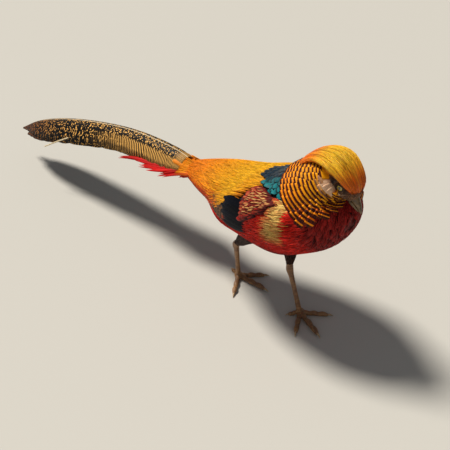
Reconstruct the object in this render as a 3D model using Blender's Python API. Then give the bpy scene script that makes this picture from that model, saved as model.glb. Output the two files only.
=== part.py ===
"""A life-size golden pheasant cock, walking with the left foot forward.

Metres, +Z up. The bird walks along +X and its left side is +Y. The origin is on the floor,
in the middle of the sole of the left, forward foot. Stations of forms are in centimetres.
"""

import math

import bmesh
import bpy
from mathutils import Vector
from mathutils.bvhtree import BVHTree

# Driving sizes
CM = 0.01
GAP = 0.0003  # clearance between touching nodes
MIDLINE = -0.8  # the body's plane of symmetry beside the forward foot, in cm
EYE_RADIUS = 0.52 * CM
RUMP_PLANE = -12.5 * CM  # where the torso ends and the rump begins
RIGHT, LEFT = -1, 1
UP = Vector((0, 0, 1))
AHEAD = Vector((1, 0, 0))


def clear_scene():
    for obj in list(bpy.data.objects):
        bpy.data.objects.remove(obj, do_unlink=True)


def new_collection(name):
    made = bpy.data.collections.new(name)
    bpy.context.scene.collection.children.link(made)
    return made


def material(name, colour, roughness=0.6, metallic=0.0):
    made = bpy.data.materials.new(name)
    made.use_nodes = True
    shader = made.node_tree.nodes["Principled BSDF"]
    shader.inputs["Base Color"].default_value = (*colour, 1.0)
    shader.inputs["Roughness"].default_value = roughness
    shader.inputs["Metallic"].default_value = metallic
    return made


def add_object(name, bm, collection, finish=None):
    """A mesh object made from a bmesh, which is freed."""
    mesh = bpy.data.meshes.new(name)
    bm.to_mesh(mesh)
    bm.free()
    obj = bpy.data.objects.new(name, mesh)
    collection.objects.link(obj)
    if finish:
        mesh.materials.append(finish)
    return obj


def smooth_value(values, t):
    """Catmull-Rom value at t, from 0 at the first of the values to 1 at the last."""
    last = len(values) - 1
    place = min(max(t, 0.0), 1.0) * last
    i = min(int(place), last - 1)
    f = place - i
    b, c = values[i], values[i + 1]
    a = values[i - 1] if i > 0 else b + (b - c)
    d = values[i + 2] if i + 2 <= last else c + (c - b)
    slope, bend, twist = c - a, 2 * a - 5 * b + 4 * c - d, 3 * b - a - 3 * c + d
    return b + 0.5 * (slope * f + bend * f * f + twist * f**3)


def swell(bm, clearance):
    """Moves each vertex outwards, so that every face moves by the clearance at least."""
    bm.normal_update()
    shifts = []
    for vert in bm.verts:
        slant = min(vert.normal.dot(face.normal) for face in vert.link_faces)
        shifts.append(vert.normal * clearance / max(slant, 0.5))
    for vert, shift in zip(bm.verts, shifts):
        vert.co += shift


class Form:
    """A rounded body lofted along a line, with its stations in cm.

    A station is x, y, z, half width, half height above and half height below. Above is
    the side that the top direction points to.
    """

    def __init__(self, stations, rings=12, sides=22, top=UP):
        self.stations = stations
        self.rings = rings
        self.sides = sides
        self.top = top

    def station(self, t):
        return [smooth_value([s[k] for s in self.stations], t) * CM for k in range(6)]

    def axes(self, t):
        """The ring's centre, its sideways axis, its upward axis and the line's direction."""
        step = 0.01
        ahead, behind = self.station(min(t + step, 1)), self.station(max(t - step, 0))
        along = (Vector(ahead[:3]) - Vector(behind[:3])).normalized()
        side = along.cross(self.top).normalized()
        return Vector(self.station(t)[:3]), side, side.cross(along).normalized(), along

    def point(self, t, angle):
        """A point of the surface: angle 0 is on top, and a quarter turn is to the right of the line."""
        centre, side, upward, _ = self.axes(t)
        _, _, _, half_width, above, below = self.station(t)
        height = math.cos(angle)
        tall = above if height > 0 else below
        return centre + side * math.sin(angle) * half_width + upward * height * tall

    def mesh(self, name, collection, finish=None, grow=0.0):
        """The closed body. Grown by a clearance, it is the cutter for what lies on it."""
        rings, sides = self.rings, self.sides
        bm = bmesh.new()
        rows = []
        for i in range(rings + 1):
            t = 0.5 - 0.5 * math.cos(math.pi * (0.06 + 0.88 * i / rings))
            rows.append([bm.verts.new(self.point(t, 2 * math.pi * k / sides)) for k in range(sides)])
        for low, high in zip(rows, rows[1:]):
            for k in range(sides):
                n = (k + 1) % sides
                bm.faces.new((low[k], low[n], high[n], high[k]))
        for row, t in ((rows[0], 0.0), (rows[-1], 1.0)):
            pole = bm.verts.new(self.axes(t)[0])
            for k in range(sides):
                n = (k + 1) % sides
                bm.faces.new((row[k], row[n], pole))
        bmesh.ops.recalc_face_normals(bm, faces=bm.faces)
        bmesh.ops.triangulate(bm, faces=bm.faces)
        if grow:
            swell(bm, grow)
        return add_object(name, bm, collection, finish)


class Ground:
    """The joined surface of some forms, which feathers are laid along."""

    def __init__(self, *objects):
        points, faces = [], []
        for obj in objects:
            first = len(points)
            points.extend(v.co.copy() for v in obj.data.vertices)
            faces.extend([first + i for i in face.vertices] for face in obj.data.polygons)
        self.tree = BVHTree.FromPolygons(points, faces)

    def lay(self, root, heading, length, lifts):
        """Frames along the surface, one for each lift, as place, sideways and outward axes."""
        place, normal, _, _ = self.tree.find_nearest(root)
        step = length / (len(lifts) - 1)
        frames = []
        for lift in lifts:
            way = (heading - normal * heading.dot(normal)).normalized()
            across = way.cross(normal)
            frames.append((place + normal * lift, across, normal))
            heading = way
            place, normal, _, _ = self.tree.find_nearest(place + way * step)
        return frames


def vane(name, collection, frames, widths, thickness, finish=None, droop=0.0):
    """A closed, thin vane along some frames.

    Its two faces have the same triangles. Its edges hang below its shaft by droop, as a
    share of its half width.
    """
    bm = bmesh.new()
    rows = []
    last = len(frames) - 1
    for i, (place, across, outward) in enumerate(frames):
        half = widths[i]
        rise = outward * thickness * (0.5 - 0.2 * i / last)
        left = place - across * half - outward * half * droop
        right = place + across * half - outward * half * droop
        ring = (left + rise, place + rise, right + rise, left - rise, place - rise, right - rise)
        rows.append([bm.verts.new(point) for point in ring])
    for low, high in zip(rows, rows[1:]):
        for side in (0, 3):
            bm.faces.new((low[side], high[side + 1], high[side]))
            bm.faces.new((low[side], low[side + 1], high[side + 1]))
            bm.faces.new((low[side + 1], high[side + 2], high[side + 1]))
            bm.faces.new((low[side + 1], low[side + 2], high[side + 2]))
        for edge in (0, 2):
            bm.faces.new((low[edge], high[edge + 3], low[edge + 3]))
            bm.faces.new((low[edge], high[edge], high[edge + 3]))
    for row in (rows[0], rows[-1]):
        for side in (0, 1):
            bm.faces.new((row[side], row[side + 1], row[side + 4]))
            bm.faces.new((row[side], row[side + 4], row[side + 3]))
    bmesh.ops.recalc_face_normals(bm, faces=bm.faces)
    return add_object(name, bm, collection, finish)


def ball(name, collection, place, radius, stretch=(1, 1, 1), finish=None, grow=0.0, sides=14):
    """A sphere, or an ellipsoid where it is stretched."""
    bm = bmesh.new()
    bmesh.ops.create_uvsphere(bm, u_segments=sides, v_segments=sides // 2 + 1, radius=radius)
    bmesh.ops.scale(bm, verts=bm.verts, vec=stretch)
    bmesh.ops.translate(bm, verts=bm.verts, vec=place)
    swell(bm, grow)
    return add_object(name, bm, collection, finish)


def fuse(obj, collection):
    """Joins all of a collection to obj, and removes the collection."""
    apply_boolean(obj, "UNION", collection=collection)
    for piece in list(collection.objects):
        bpy.data.objects.remove(piece)
    bpy.data.collections.remove(collection)
    keep_largest(obj)


def scaled(values, factor):
    return [value * factor for value in values]


def apply_boolean(obj, operation, other=None, collection=None, solver="EXACT"):
    """Applies one Boolean to obj, with another object or with all of a collection."""
    modifier = obj.modifiers.new(operation.title(), "BOOLEAN")
    modifier.operation = operation
    modifier.solver = solver
    if collection:
        modifier.operand_type = "COLLECTION"
        modifier.collection = collection
    else:
        modifier.object = other
    bpy.context.view_layer.update()
    graph = bpy.context.evaluated_depsgraph_get()
    made = bpy.data.meshes.new_from_object(obj.evaluated_get(graph))
    obj.modifiers.clear()
    obj.data = made


def keep_largest(obj):
    """Keeps the closed surface with the most volume, and drops scraps and sealed hollows."""
    bm = bmesh.new()
    bm.from_mesh(obj.data)
    left, best = set(bm.faces), ([], 0.0)
    while left:
        island, edge = [], [left.pop()]
        while edge:
            face = edge.pop()
            island.append(face)
            for link in face.edges:
                if len(link.link_faces) > 2:
                    continue
                for near in link.link_faces:
                    if near in left:
                        left.remove(near)
                        edge.append(near)
        volume = 0.0
        for face in island:
            corners = [v.co for v in face.verts]
            for b, c in zip(corners[1:], corners[2:]):
                volume += corners[0].dot(b.cross(c))
        if abs(volume) > abs(best[1]):
            best = (island, volume)
    kept = set(best[0])
    bmesh.ops.delete(bm, geom=[f for f in bm.faces if f not in kept], context="FACES")
    bmesh.ops.triangulate(bm, faces=bm.faces)
    bm.to_mesh(obj.data)
    bm.free()


def carve(obj, *cutters):
    """Cuts obj clear of its neighbours and keeps its main body."""
    for cutter in cutters:
        apply_boolean(obj, "DIFFERENCE", cutter)
    keep_largest(obj)


def trim(obj, point, outward):
    """Cuts obj flat at a plane and drops what lies on the outward side."""
    bm = bmesh.new()
    bm.from_mesh(obj.data)
    parts = list(bm.verts) + list(bm.edges) + list(bm.faces)
    bmesh.ops.bisect_plane(bm, geom=parts, plane_co=point, plane_no=outward, clear_outer=True)
    bmesh.ops.holes_fill(bm, edges=[e for e in bm.edges if e.is_boundary])
    bmesh.ops.triangulate(bm, faces=bm.faces)
    bmesh.ops.recalc_face_normals(bm, faces=bm.faces)
    bm.to_mesh(obj.data)
    bm.free()


M = MIDLINE
TORSO = Form([
    (-22.8, M, 14.2, 0.9, 0.9, 0.9),
    (-18.8, M, 15.0, 2.6, 1.9, 2.0),
    (-14.8, M, 15.8, 4.1, 2.6, 3.1),
    (-10.5, M, 16.4, 5.3, 3.3, 4.5),
    (-6.0, M, 17.1, 6.0, 4.2, 6.4),
    (-1.5, M, 17.9, 6.2, 4.9, 7.0),
    (3.0, M, 18.8, 5.7, 4.8, 5.3),
    (6.4, M, 19.9, 4.2, 3.7, 3.7),
    (8.5, M, 20.9, 0.9, 0.9, 0.9),
])
NECK = Form([
    (-1.6, M, 19.2, 5.4, 4.2, 4.0),
    (0.6, M, 20.9, 5.6, 4.1, 4.0),
    (2.6, M, 22.5, 4.8, 3.6, 3.5),
    (4.4, M, 24.0, 3.3, 2.8, 2.8),
    (5.9, M, 25.1, 2.0, 2.0, 2.0),
])
HEAD = Form([
    (4.0, M, 26.2, 0.8, 0.8, 0.8),
    (5.0, M, 26.1, 1.55, 1.5, 1.7),
    (6.4, M, 25.5, 1.7, 1.6, 1.9),
    (7.5, M, 24.9, 1.5, 1.3, 1.6),
    (8.3, M, 24.3, 0.95, 0.9, 0.95),
    (8.7, M, 24.0, 0.5, 0.5, 0.5),
], rings=11, sides=18)
CREST = Form([
    (8.5, M, 25.0, 0.5, 0.4, 0.4),
    (7.9, M, 26.3, 1.7, 1.0, 0.8),
    (5.9, M, 27.4, 2.4, 1.3, 1.0),
    (3.6, M, 27.0, 2.6, 1.4, 1.1),
    (1.4, M, 25.9, 2.1, 1.0, 1.0),
    (-0.2, M, 24.6, 1.1, 0.5, 0.4),
], rings=14, sides=20)
BILL_UPPER = Form([
    (7.4, M, 24.6, 0.5, 0.5, 0.5),
    (8.2, M, 24.1, 0.62, 0.60, 0.35),
    (8.9, M, 23.4, 0.42, 0.48, 0.22),
    (9.4, M, 22.7, 0.20, 0.24, 0.14),
    (9.5, M, 22.2, 0.05, 0.05, 0.05),
], rings=8, sides=12)
BILL_LOWER = Form([
    (7.3, M, 23.8, 0.4, 0.3, 0.3),
    (8.1, M, 23.3, 0.5, 0.3, 0.3),
    (8.8, M, 22.8, 0.34, 0.25, 0.2),
    (9.2, M, 22.4, 0.12, 0.1, 0.1),
], rings=6, sides=10)
TAIL = Form([
    (-20.5, M, 14.6, 1.5, 0.9, 1.6),
    (-26.0, M - 0.2, 15.3, 3.2, 0.9, 3.0),
    (-36.0, M - 0.8, 14.6, 3.2, 0.8, 3.0),
    (-48.0, M - 2.0, 12.0, 3.7, 0.6, 3.4),
    (-58.0, M - 3.0, 8.5, 3.6, 0.4, 3.3),
    (-64.5, M - 3.6, 4.9, 1.6, 0.1, 1.4),
], rings=16, sides=14)
TAIL_STUB = Form([
    (-20.0, M, 14.5, 1.2, 0.75, 1.1),
    (-22.6, M - 0.1, 14.8, 1.5, 0.7, 1.3),
    (-24.4, M - 0.15, 15.1, 1.7, 0.6, 1.4),
    (-24.8, M - 0.15, 15.1, 1.2, 0.35, 0.95),
], rings=5, sides=10)
NECK_CORE = Form([
    (-1.6, M, 19.2, 5.4, 4.2, 4.0),
    (0.6, M, 20.9, 5.4, 3.9, 3.9),
    (2.4, M, 22.3, 4.4, 3.0, 3.3),
    (4.2, M, 23.8, 2.7, 2.2, 2.5),
    (5.6, M, 25.0, 1.9, 1.8, 1.8),
], rings=8, sides=18)
CREST_CORE = Form([
    (8.3, M, 25.4, 0.5, 0.4, 0.4),
    (7.6, M, 26.5, 1.4, 0.5, 0.6),
    (5.9, M, 27.1, 1.9, 0.7, 0.8),
    (4.0, M, 26.8, 1.9, 0.8, 0.9),
    (2.2, M, 26.0, 1.4, 0.6, 0.8),
    (1.0, M, 25.1, 0.5, 0.4, 0.4),
], rings=8, sides=12)
RUFF_EDGE = Vector((-0.2, M, 22.2)) * CM  # the ruff ends at a slanted plane through this point
BEHIND_RUFF = Vector((-0.56, 0, -0.83)).normalized()
THIN = 0.05 * CM  # thickness of a vane at its root
RUFF_TIERS = 4
CREST_ROWS = 4
SIDE_TAIL_FEATHERS = 6


def along_form(form, first, last, angle, lifts):
    """Frames on a form from one parameter of its line to another, at one angle round it."""
    frames = []
    for i, lift in enumerate(lifts):
        t = first + (last - first) * i / (len(lifts) - 1)
        centre, _, _, along = form.axes(t)
        place = form.point(t, angle)
        near = form.point(t, angle + 0.1) - form.point(t, angle - 0.1)
        outward = near.cross(along)
        if outward.dot(place - centre) < 0:
            outward = -outward
        outward.normalize()
        frames.append((place + outward * lift, near.normalized(), outward))
    return frames


def ruff_feathers(ground, collection):
    """Square-ended vanes in tiers, from behind the face to the outer edge of the ruff."""
    lifts = (-1.0 * CM, 0.02 * CM, 0.12 * CM, 0.22 * CM)
    shape = (0.35, 0.85, 1.0, 0.65)
    for tier in range(RUFF_TIERS):
        share = tier / (RUFF_TIERS - 1)
        count = 9
        half_width = (0.60 + 0.42 * share) * CM
        spread = math.radians(118 - 8 * share)
        for k in range(count):
            angle = spread * (2 * (k + 0.25 + 0.5 * (tier % 2)) / count - 1)
            root = NECK.point(0.84 - 0.28 * share, angle)
            away = (NECK.point(0.74 - 0.28 * share, angle) - root).normalized()
            frames = ground.lay(root, away, (2.3 + 1.1 * share) * CM, lifts)
            vane("ruff_feather", collection, frames, scaled(shape, half_width), THIN, droop=0.10)


def crest_locks(collection):
    """Flat, tapered locks from the forehead back over the nape, in rows across the crown."""
    shape = (0.5, 1.0, 0.85, 0.25)
    levels = (-0.4, 0.62, 0.86, 1.0)
    for row in range(CREST_ROWS):
        count = 6
        pitch = math.radians(160) / count
        for k in range(count):
            angle = pitch * (k + 0.5 - count / 2)
            first = 0.07 + 0.15 * row
            frames, widths = [], []
            for share, level in zip(shape, levels):
                t = first + 0.145 * len(frames)
                outside = CREST.point(t, angle)
                centre, _, _, along = CREST.axes(t)
                reach = outside - centre
                outward = reach.normalized()
                place = CREST_CORE.point(t, angle).lerp(outside, level)
                frames.append((place, along.cross(outward).normalized(), outward))
                widths.append(min(0.5 * CM, 0.46 * pitch * reach.length) * share)
            vane("lock", collection, frames, widths, 0.08 * CM, droop=0.1)


def roof_place(t, turn, sunk, reach):
    """A frame under one side of the tail's roof: sunk below it, and reaching down its slope."""
    centre, side, upward, _ = TAIL.axes(t)
    _, _, _, half_width, above, _ = TAIL.station(t)
    across = (side * turn * 0.80 - upward * 0.76).normalized()
    outward = (side * turn * 0.76 + upward * 0.80).normalized()
    place = centre + upward * (above * 0.9 - 0.10 * CM) + across * half_width * reach - outward * sunk
    return place, across, outward


def tail_feathers(collection):
    """The roof-shaped middle pair, stacks of shorter feathers under its sides and one worn, bare quill."""
    whole = 44.5
    for layer, length in enumerate((44.5, 41.5)):
        frames, widths = [], []
        steps = 9
        for i in range(steps + 1):
            share = i / steps
            t = 0.10 + 0.895 * share * length / whole
            centre, side, upward, _ = TAIL.axes(t)
            _, _, _, half_width, above, _ = TAIL.station(t)
            frames.append((centre + upward * (above * 0.9 - 0.12 * CM * layer), side, upward))
            widths.append(half_width * 0.80 * (1 - 0.85 * share**6))
        vane("middle_feather", collection, frames, widths, 0.08 * CM, droop=0.95)
    for turn in (-1, 1):
        for j in range(SIDE_TAIL_FEATHERS):
            length = 38.0 * 0.80**j + 3.0
            steps = 6 if j < 3 else 4
            frames, widths = [], []
            for i in range(steps + 1):
                share = i / steps
                t = 0.10 + 0.895 * share * length / whole
                frames.append(roof_place(t, turn, (0.16 + 0.09 * j) * CM, 0.66 + 0.026 * j))
                web = TAIL.station(t)[3] * (0.48 - 0.013 * j)
                widths.append(web * (1 - 0.75 * share**5) * (0.5 + 0.5 * min(1, share * 4)))
            vane("side_feather", collection, frames, widths, THIN, droop=0.06)
    quill = []
    for share in (0, 0.5, 1):
        quill.append(roof_place(0.56 + 0.16 * share, RIGHT, 0.16 * CM, 0.8 + 0.52 * share))
    vane("bare_quill", collection, quill, [0.085 * CM] * 3, 0.17 * CM)


def rump_feathers(collection):
    """Scarlet feathers along the root of the tail, and golden locks that hang over the rump."""
    shape = (0.6, 1.0, 0.85, 0.2)
    lifts = (0.04 * CM, 0.13 * CM, 0.16 * CM, 0.24 * CM)
    for turn in (-1, 1):
        for k in range(3):
            frames = []
            for share in (0, 1 / 3, 2 / 3, 1):
                place = roof_place(0.36 * 0.74**k * share, turn, (-0.45 - 0.07 * k) * CM, 0.9 + 0.1 * k + 0.35 * share)
                frames.append(place)
            vane("scarlet_feather", collection, frames, scaled(shape, 0.42 * CM), THIN, droop=0.15)
    for k in range(4):
        angle = math.radians(40) * (k - 1.5)
        frames = along_form(TAIL, 0.0, 0.095, angle, lifts)
        vane("golden_lock", collection, frames, scaled(shape, 0.44 * CM), THIN, droop=0.12)
    lifts = (-0.25 * CM, 0.10 * CM, 0.16 * CM, 0.22 * CM)
    count = 6
    for k in range(count):
        angle = math.radians(130) * (2 * (k + 0.5) / count - 1)
        frames = along_form(TORSO, 0.20, 0.06, angle, lifts)
        vane("golden_lock", collection, frames, scaled(shape, 0.64 * CM), THIN, droop=0.1)


def wing_feathers(side, ground, collection):
    """Tiers of the folded wing: long feathers behind, coverts over their roots."""
    y = (M + side * 9) * CM
    shape = (0.5, 0.95, 1.0, 0.5)
    lifts = (-0.22 * CM, 0.09 * CM, 0.15 * CM, 0.22 * CM)
    tiers = (
        (4, (-4.4, 15.0), (-5.2, 17.9), 6.6, 0.46, (-1.0, -0.16)),
        (4, (-1.2, 15.8), (-2.2, 19.2), 5.0, 0.56, (-1.0, -0.28)),
        (3, (2.0, 17.2), (1.4, 19.8), 4.2, 0.60, (-1.0, -0.36)),
    )
    for count, low, high, length, half_width, heading in tiers:
        for k in range(count):
            share = k / (count - 1)
            x = low[0] + share * (high[0] - low[0])
            z = low[1] + share * (high[1] - low[1])
            away = Vector((heading[0], 0, heading[1])).normalized()
            frames = ground.lay(Vector((x * CM, y, z * CM)), away, length * CM, lifts)
            vane("wing_feather", collection, frames, scaled(shape, half_width * CM), THIN, droop=0.06)


def wing_form(side):
    """The folded wing: from the wrist beside the breast to the tips beside the rump."""
    return Form([
        (3.6, M + side * 5.0, 19.6, 0.3, 0.8, 0.8),
        (2.2, M + side * 5.6, 19.4, 0.9, 2.0, 1.9),
        (-2.0, M + side * 6.0, 18.2, 1.0, 2.9, 2.7),
        (-6.5, M + side * 5.7, 16.9, 0.9, 2.8, 2.8),
        (-10.5, M + side * 5.0, 15.6, 0.6, 2.0, 2.2),
        (-13.4, M + side * 4.2, 14.8, 0.15, 0.5, 0.5),
    ], rings=9, sides=12)


class Leg:
    """One leg: its joints, in cm, and its toes as direction in degrees, length and radius."""

    def __init__(self, side, sole, hock, knee, hip, toes):
        self.side = side
        self.name = "left" if side == LEFT else "right"
        self.sole, self.hock, self.knee, self.hip = sole, hock, knee, hip
        self.toes = toes

    def thigh(self):
        (hx, hy, hz), (kx, ky, kz), (px, py, pz) = self.hock, self.knee, self.hip
        stations = []
        for share, r in ((0.14, 0.42), (0.34, 0.78), (0.62, 1.1), (1.0, 1.5)):
            place = (hx + share * (kx - hx), hy + share * (ky - hy), hz + share * (kz - hz))
            stations.append((*place, r, r, r))
        stations.append((px, py, pz, 1.8, 2.0, 2.0))
        return Form(stations, rings=7, sides=12, top=AHEAD)

    def shank(self):
        (sx, sy, _), (hx, hy, hz), (kx, ky, kz) = self.sole, self.hock, self.knee
        stations = []
        for share, width, depth in ((0.07, 0.44, 0.42), (0.16, 0.36, 0.36), (0.5, 0.30, 0.36), (0.85, 0.36, 0.42)):
            place = (sx + share * (hx - sx), sy + share * (hy - sy), share * hz)
            stations.append((*place, width, depth, depth))
        stations.append((hx, hy, hz, 0.48, 0.55, 0.55))
        above = 0.24
        place = (hx + above * (kx - hx), hy + above * (ky - hy), hz + above * (kz - hz))
        stations.append((*place, 0.36, 0.40, 0.40))
        return Form(stations, rings=9, sides=8, top=AHEAD)

    def toe(self, angle, length, radius, is_rear):
        """A toe from the middle of the foot to the root of its claw, with knuckles."""
        turn = math.radians(angle)
        way = (math.cos(turn), math.sin(turn))
        lift = 0.85 if is_rear else 0.42
        stations = []
        for share, swell in ((0.0, 0.9), (0.18, 1.0), (0.34, 0.82), (0.5, 1.04), (0.66, 0.78), (0.82, 0.98), (1.0, 0.55)):
            r = radius * swell
            height = r - 0.05 + (lift - r) * max(0.0, 1 - share * (1.6 if is_rear else 3.0))
            x = self.sole[0] + way[0] * length * share
            y = self.sole[1] + way[1] * length * share
            stations.append((x, y, height, r, r, r))
        return Form(stations, rings=8, sides=6)

    def claw(self, angle, length, radius):
        """A curved claw that leaves the end of its toe and comes down towards the floor."""
        turn = math.radians(angle)
        way = (math.cos(turn), math.sin(turn))
        claw_length = 0.95 if length > 2.5 else 0.6
        stations = []
        for share, size, height in ((0.0, 0.42, 0.20), (0.3, 0.40, 0.26), (0.65, 0.26, 0.20), (1.0, 0.05, 0.04)):
            reach = length - 0.15 + claw_length * share
            x = self.sole[0] + way[0] * reach
            y = self.sole[1] + way[1] * reach
            stations.append((x, y, height, radius * size, radius * size, radius * size))
        return Form(stations, rings=3, sides=5)


LEFT_LEG = Leg(
    LEFT, (0.0, 0.0, 0.0), (-2.6, 0.2, 6.5), (-3.2, M + 1.6, 12.8), (-2.4, M + 2.2, 16.0),
    {"inner": (-54, 4.2, 0.36), "middle": (-17, 4.9, 0.40), "outer": (42, 3.9, 0.36), "rear": (-122, 1.7, 0.30)},
)
RIGHT_LEG = Leg(
    RIGHT, (-12.0, -0.7, 0.0), (-11.2, -2.0, 7.1), (-5.8, M - 2.9, 13.0), (-3.6, M - 2.6, 15.5),
    {"inner": (50, 3.8, 0.36), "middle": (8, 4.8, 0.40), "outer": (-52, 4.2, 0.36), "rear": (168, 1.8, 0.30)},
)


def main():
    clear_scene()
    bird = new_collection("golden_pheasant")
    tools = new_collection("cutters")
    tools.hide_render = True
    scarlet = material("scarlet_plumage", (0.62, 0.03, 0.02), 0.6)
    gold = material("golden_plumage", (0.90, 0.45, 0.03), 0.5)
    barred = material("barred_ruff", (0.85, 0.32, 0.03), 0.5)
    face = material("buff_face", (0.42, 0.22, 0.10), 0.7)
    horn = material("horn", (0.42, 0.33, 0.14), 0.4)
    iris = material("eye", (0.55, 0.42, 0.05), 0.1)
    wing_dark = material("wing_plumage", (0.10, 0.04, 0.03), 0.5)
    tail_brown = material("mottled_tail", (0.30, 0.16, 0.06), 0.5)
    skin = material("leg_skin", (0.42, 0.24, 0.10), 0.5)

    torso_cutter = TORSO.mesh("torso_cutter", tools, grow=GAP)
    head_cutter = HEAD.mesh("head_cutter", tools, grow=GAP)

    torso = TORSO.mesh("torso", bird, scarlet)
    rump = TORSO.mesh("rump", bird, gold)
    trim(torso, Vector((RUMP_PLANE + GAP / 2, 0, 0)), Vector((-1, 0, 0)))
    feathers = new_collection("rump_feathers")
    rump_feathers(feathers)
    fuse(rump, feathers)
    trim(rump, Vector((RUMP_PLANE - GAP / 2, 0, 0)), Vector((1, 0, 0)))
    keep_largest(rump)

    neck_cutter = NECK.mesh("neck_cutter", tools, grow=GAP)
    body_ground = Ground(TORSO.mesh("body_guide", tools), NECK.mesh("neck_guide", tools), HEAD.mesh("head_guide", tools))
    neck = NECK_CORE.mesh("neck_ruff", bird, barred)
    feathers = new_collection("ruff_feathers")
    ruff_feathers(body_ground, feathers)
    for feather in feathers.objects:
        trim(feather, RUFF_EDGE - BEHIND_RUFF * GAP, BEHIND_RUFF)
    fuse(neck, feathers)
    carve(neck, torso_cutter, head_cutter, CREST.mesh("crest_cutter", tools, grow=0.12 * CM))

    head = HEAD.mesh("head", bird, face)
    crest = CREST_CORE.mesh("crest", bird, gold)
    locks = new_collection("crest_locks")
    crest_locks(locks)
    fuse(crest, locks)
    carve(crest, head_cutter, neck_cutter)

    upper = BILL_UPPER.mesh("bill_upper", bird, horn)
    carve(upper, head_cutter)
    lower = BILL_LOWER.mesh("bill_lower", bird, horn)
    carve(lower, head_cutter, BILL_UPPER.mesh("bill_cutter", tools, grow=GAP))

    for side, name in ((RIGHT, "right"), (LEFT, "left")):
        place = Vector((7.15 * CM, (M + side * 1.22) * CM, 25.5 * CM))
        lids = new_collection("lids")
        ball("lid", lids, place, EYE_RADIUS + 0.11 * CM, sides=12)
        ball("wattle", lids, place + Vector((0.1, side * 0.02, -0.95)) * CM, 0.42 * CM, (1.3, 0.8, 0.8), sides=8)
        fuse(head, lids)
        opening = place + Vector((0.05, side * 0.55, 0.0)) * CM
        carve(head, ball("eye_opening", tools, opening, 0.40 * CM, (1.25, 0.9, 0.92), sides=10))
        carve(head, ball("eye_cutter", tools, place, EYE_RADIUS, grow=GAP, sides=12))
        ball("eye_" + name, bird, place, EYE_RADIUS, finish=iris, sides=12)
        nostril = Vector((8.75, M + side * 0.50, 23.85)) * CM
        carve(upper, ball("nostril_cutter", tools, nostril, 0.13 * CM, (1.4, 0.9, 1.0), sides=6))

        wing = wing_form(side).mesh("wing_" + name, bird, wing_dark)
        feathers = new_collection("wing_feathers")
        wing_feathers(side, Ground(wing), feathers)
        fuse(wing, feathers)
        trim(wing, RUFF_EDGE, -BEHIND_RUFF)
        carve(wing, torso_cutter, neck_cutter)

    tail = TAIL_STUB.mesh("tail", bird, tail_brown)
    feathers = new_collection("tail_feathers")
    tail_feathers(feathers)
    fuse(tail, feathers)
    carve(tail, torso_cutter)

    for leg in (LEFT_LEG, RIGHT_LEG):
        thigh = leg.thigh().mesh("thigh_" + leg.name, bird, face)
        carve(thigh, torso_cutter)
        shank = leg.shank().mesh("shank_" + leg.name, bird, skin)
        carve(shank, leg.thigh().mesh("thigh_cutter_" + leg.name, tools, grow=GAP))
        shank_cutter = leg.shank().mesh("shank_cutter_" + leg.name, tools, grow=GAP)
        toes = new_collection("toes_" + leg.name)
        foot = None
        for toe_name, (angle, length, radius) in leg.toes.items():
            form = leg.toe(angle, length, radius, toe_name == "rear")
            if foot is None:
                foot = form.mesh("foot_" + leg.name, bird, skin)
            else:
                form.mesh("toe", toes, skin)
            claw = leg.claw(angle, length, radius).mesh(
                "claw_" + toe_name + "_" + leg.name, bird, horn)
            carve(claw, form.mesh("toe_cutter", tools, grow=GAP))
        x, y, _ = leg.sole
        ball("pad", toes, Vector((x, y, 0.40)) * CM, 0.62 * CM, sides=8)
        fuse(foot, toes)
        trim(foot, Vector((0, 0, 0)), Vector((0, 0, -1)))
        carve(foot, shank_cutter)

    for obj in list(tools.objects):
        bpy.data.objects.remove(obj)
    bpy.data.collections.remove(tools)


main()
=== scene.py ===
# %% [markdown]
# # A golden pheasant cock, feather by feather
# The model is a life-size, still bird. Its solids are already packed, and this lesson dresses
# them: one skin takes the place of the flesh, and every tract of plumage is laid over it as
# thin mesh feathers. Each tract gets the feather shape and the colour that it has on the bird,
# with a painted highlight and painted shade in a few places.

import math

import bmesh
import bpy
import numpy as np
from mathutils import Matrix, Vector
from mathutils.bvhtree import BVHTree


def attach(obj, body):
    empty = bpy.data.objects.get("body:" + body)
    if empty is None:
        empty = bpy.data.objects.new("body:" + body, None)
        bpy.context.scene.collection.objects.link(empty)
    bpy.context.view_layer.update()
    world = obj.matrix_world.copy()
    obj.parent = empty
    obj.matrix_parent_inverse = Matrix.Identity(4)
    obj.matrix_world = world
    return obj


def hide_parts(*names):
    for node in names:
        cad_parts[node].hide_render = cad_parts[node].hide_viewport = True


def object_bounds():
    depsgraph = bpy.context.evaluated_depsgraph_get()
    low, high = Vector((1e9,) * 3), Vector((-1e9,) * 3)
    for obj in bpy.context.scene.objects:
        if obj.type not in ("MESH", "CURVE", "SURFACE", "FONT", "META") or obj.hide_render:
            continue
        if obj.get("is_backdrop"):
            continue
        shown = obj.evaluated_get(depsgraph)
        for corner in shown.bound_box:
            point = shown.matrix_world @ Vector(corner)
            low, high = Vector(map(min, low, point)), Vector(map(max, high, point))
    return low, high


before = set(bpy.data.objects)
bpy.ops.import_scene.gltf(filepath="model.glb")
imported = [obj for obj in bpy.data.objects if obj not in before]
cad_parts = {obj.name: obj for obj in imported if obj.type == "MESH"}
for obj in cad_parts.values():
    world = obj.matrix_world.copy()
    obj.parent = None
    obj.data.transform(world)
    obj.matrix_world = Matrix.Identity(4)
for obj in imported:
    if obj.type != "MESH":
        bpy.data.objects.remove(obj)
cad_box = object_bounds()
print("packed nodes:", len(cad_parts))

# %% [markdown]
# ## Camera
# The photo looks down at the bird at 35 degrees, from 48 degrees round from its right side. The
# camera stands 1.3 m from the forward foot, with a short telephoto lens.

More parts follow.
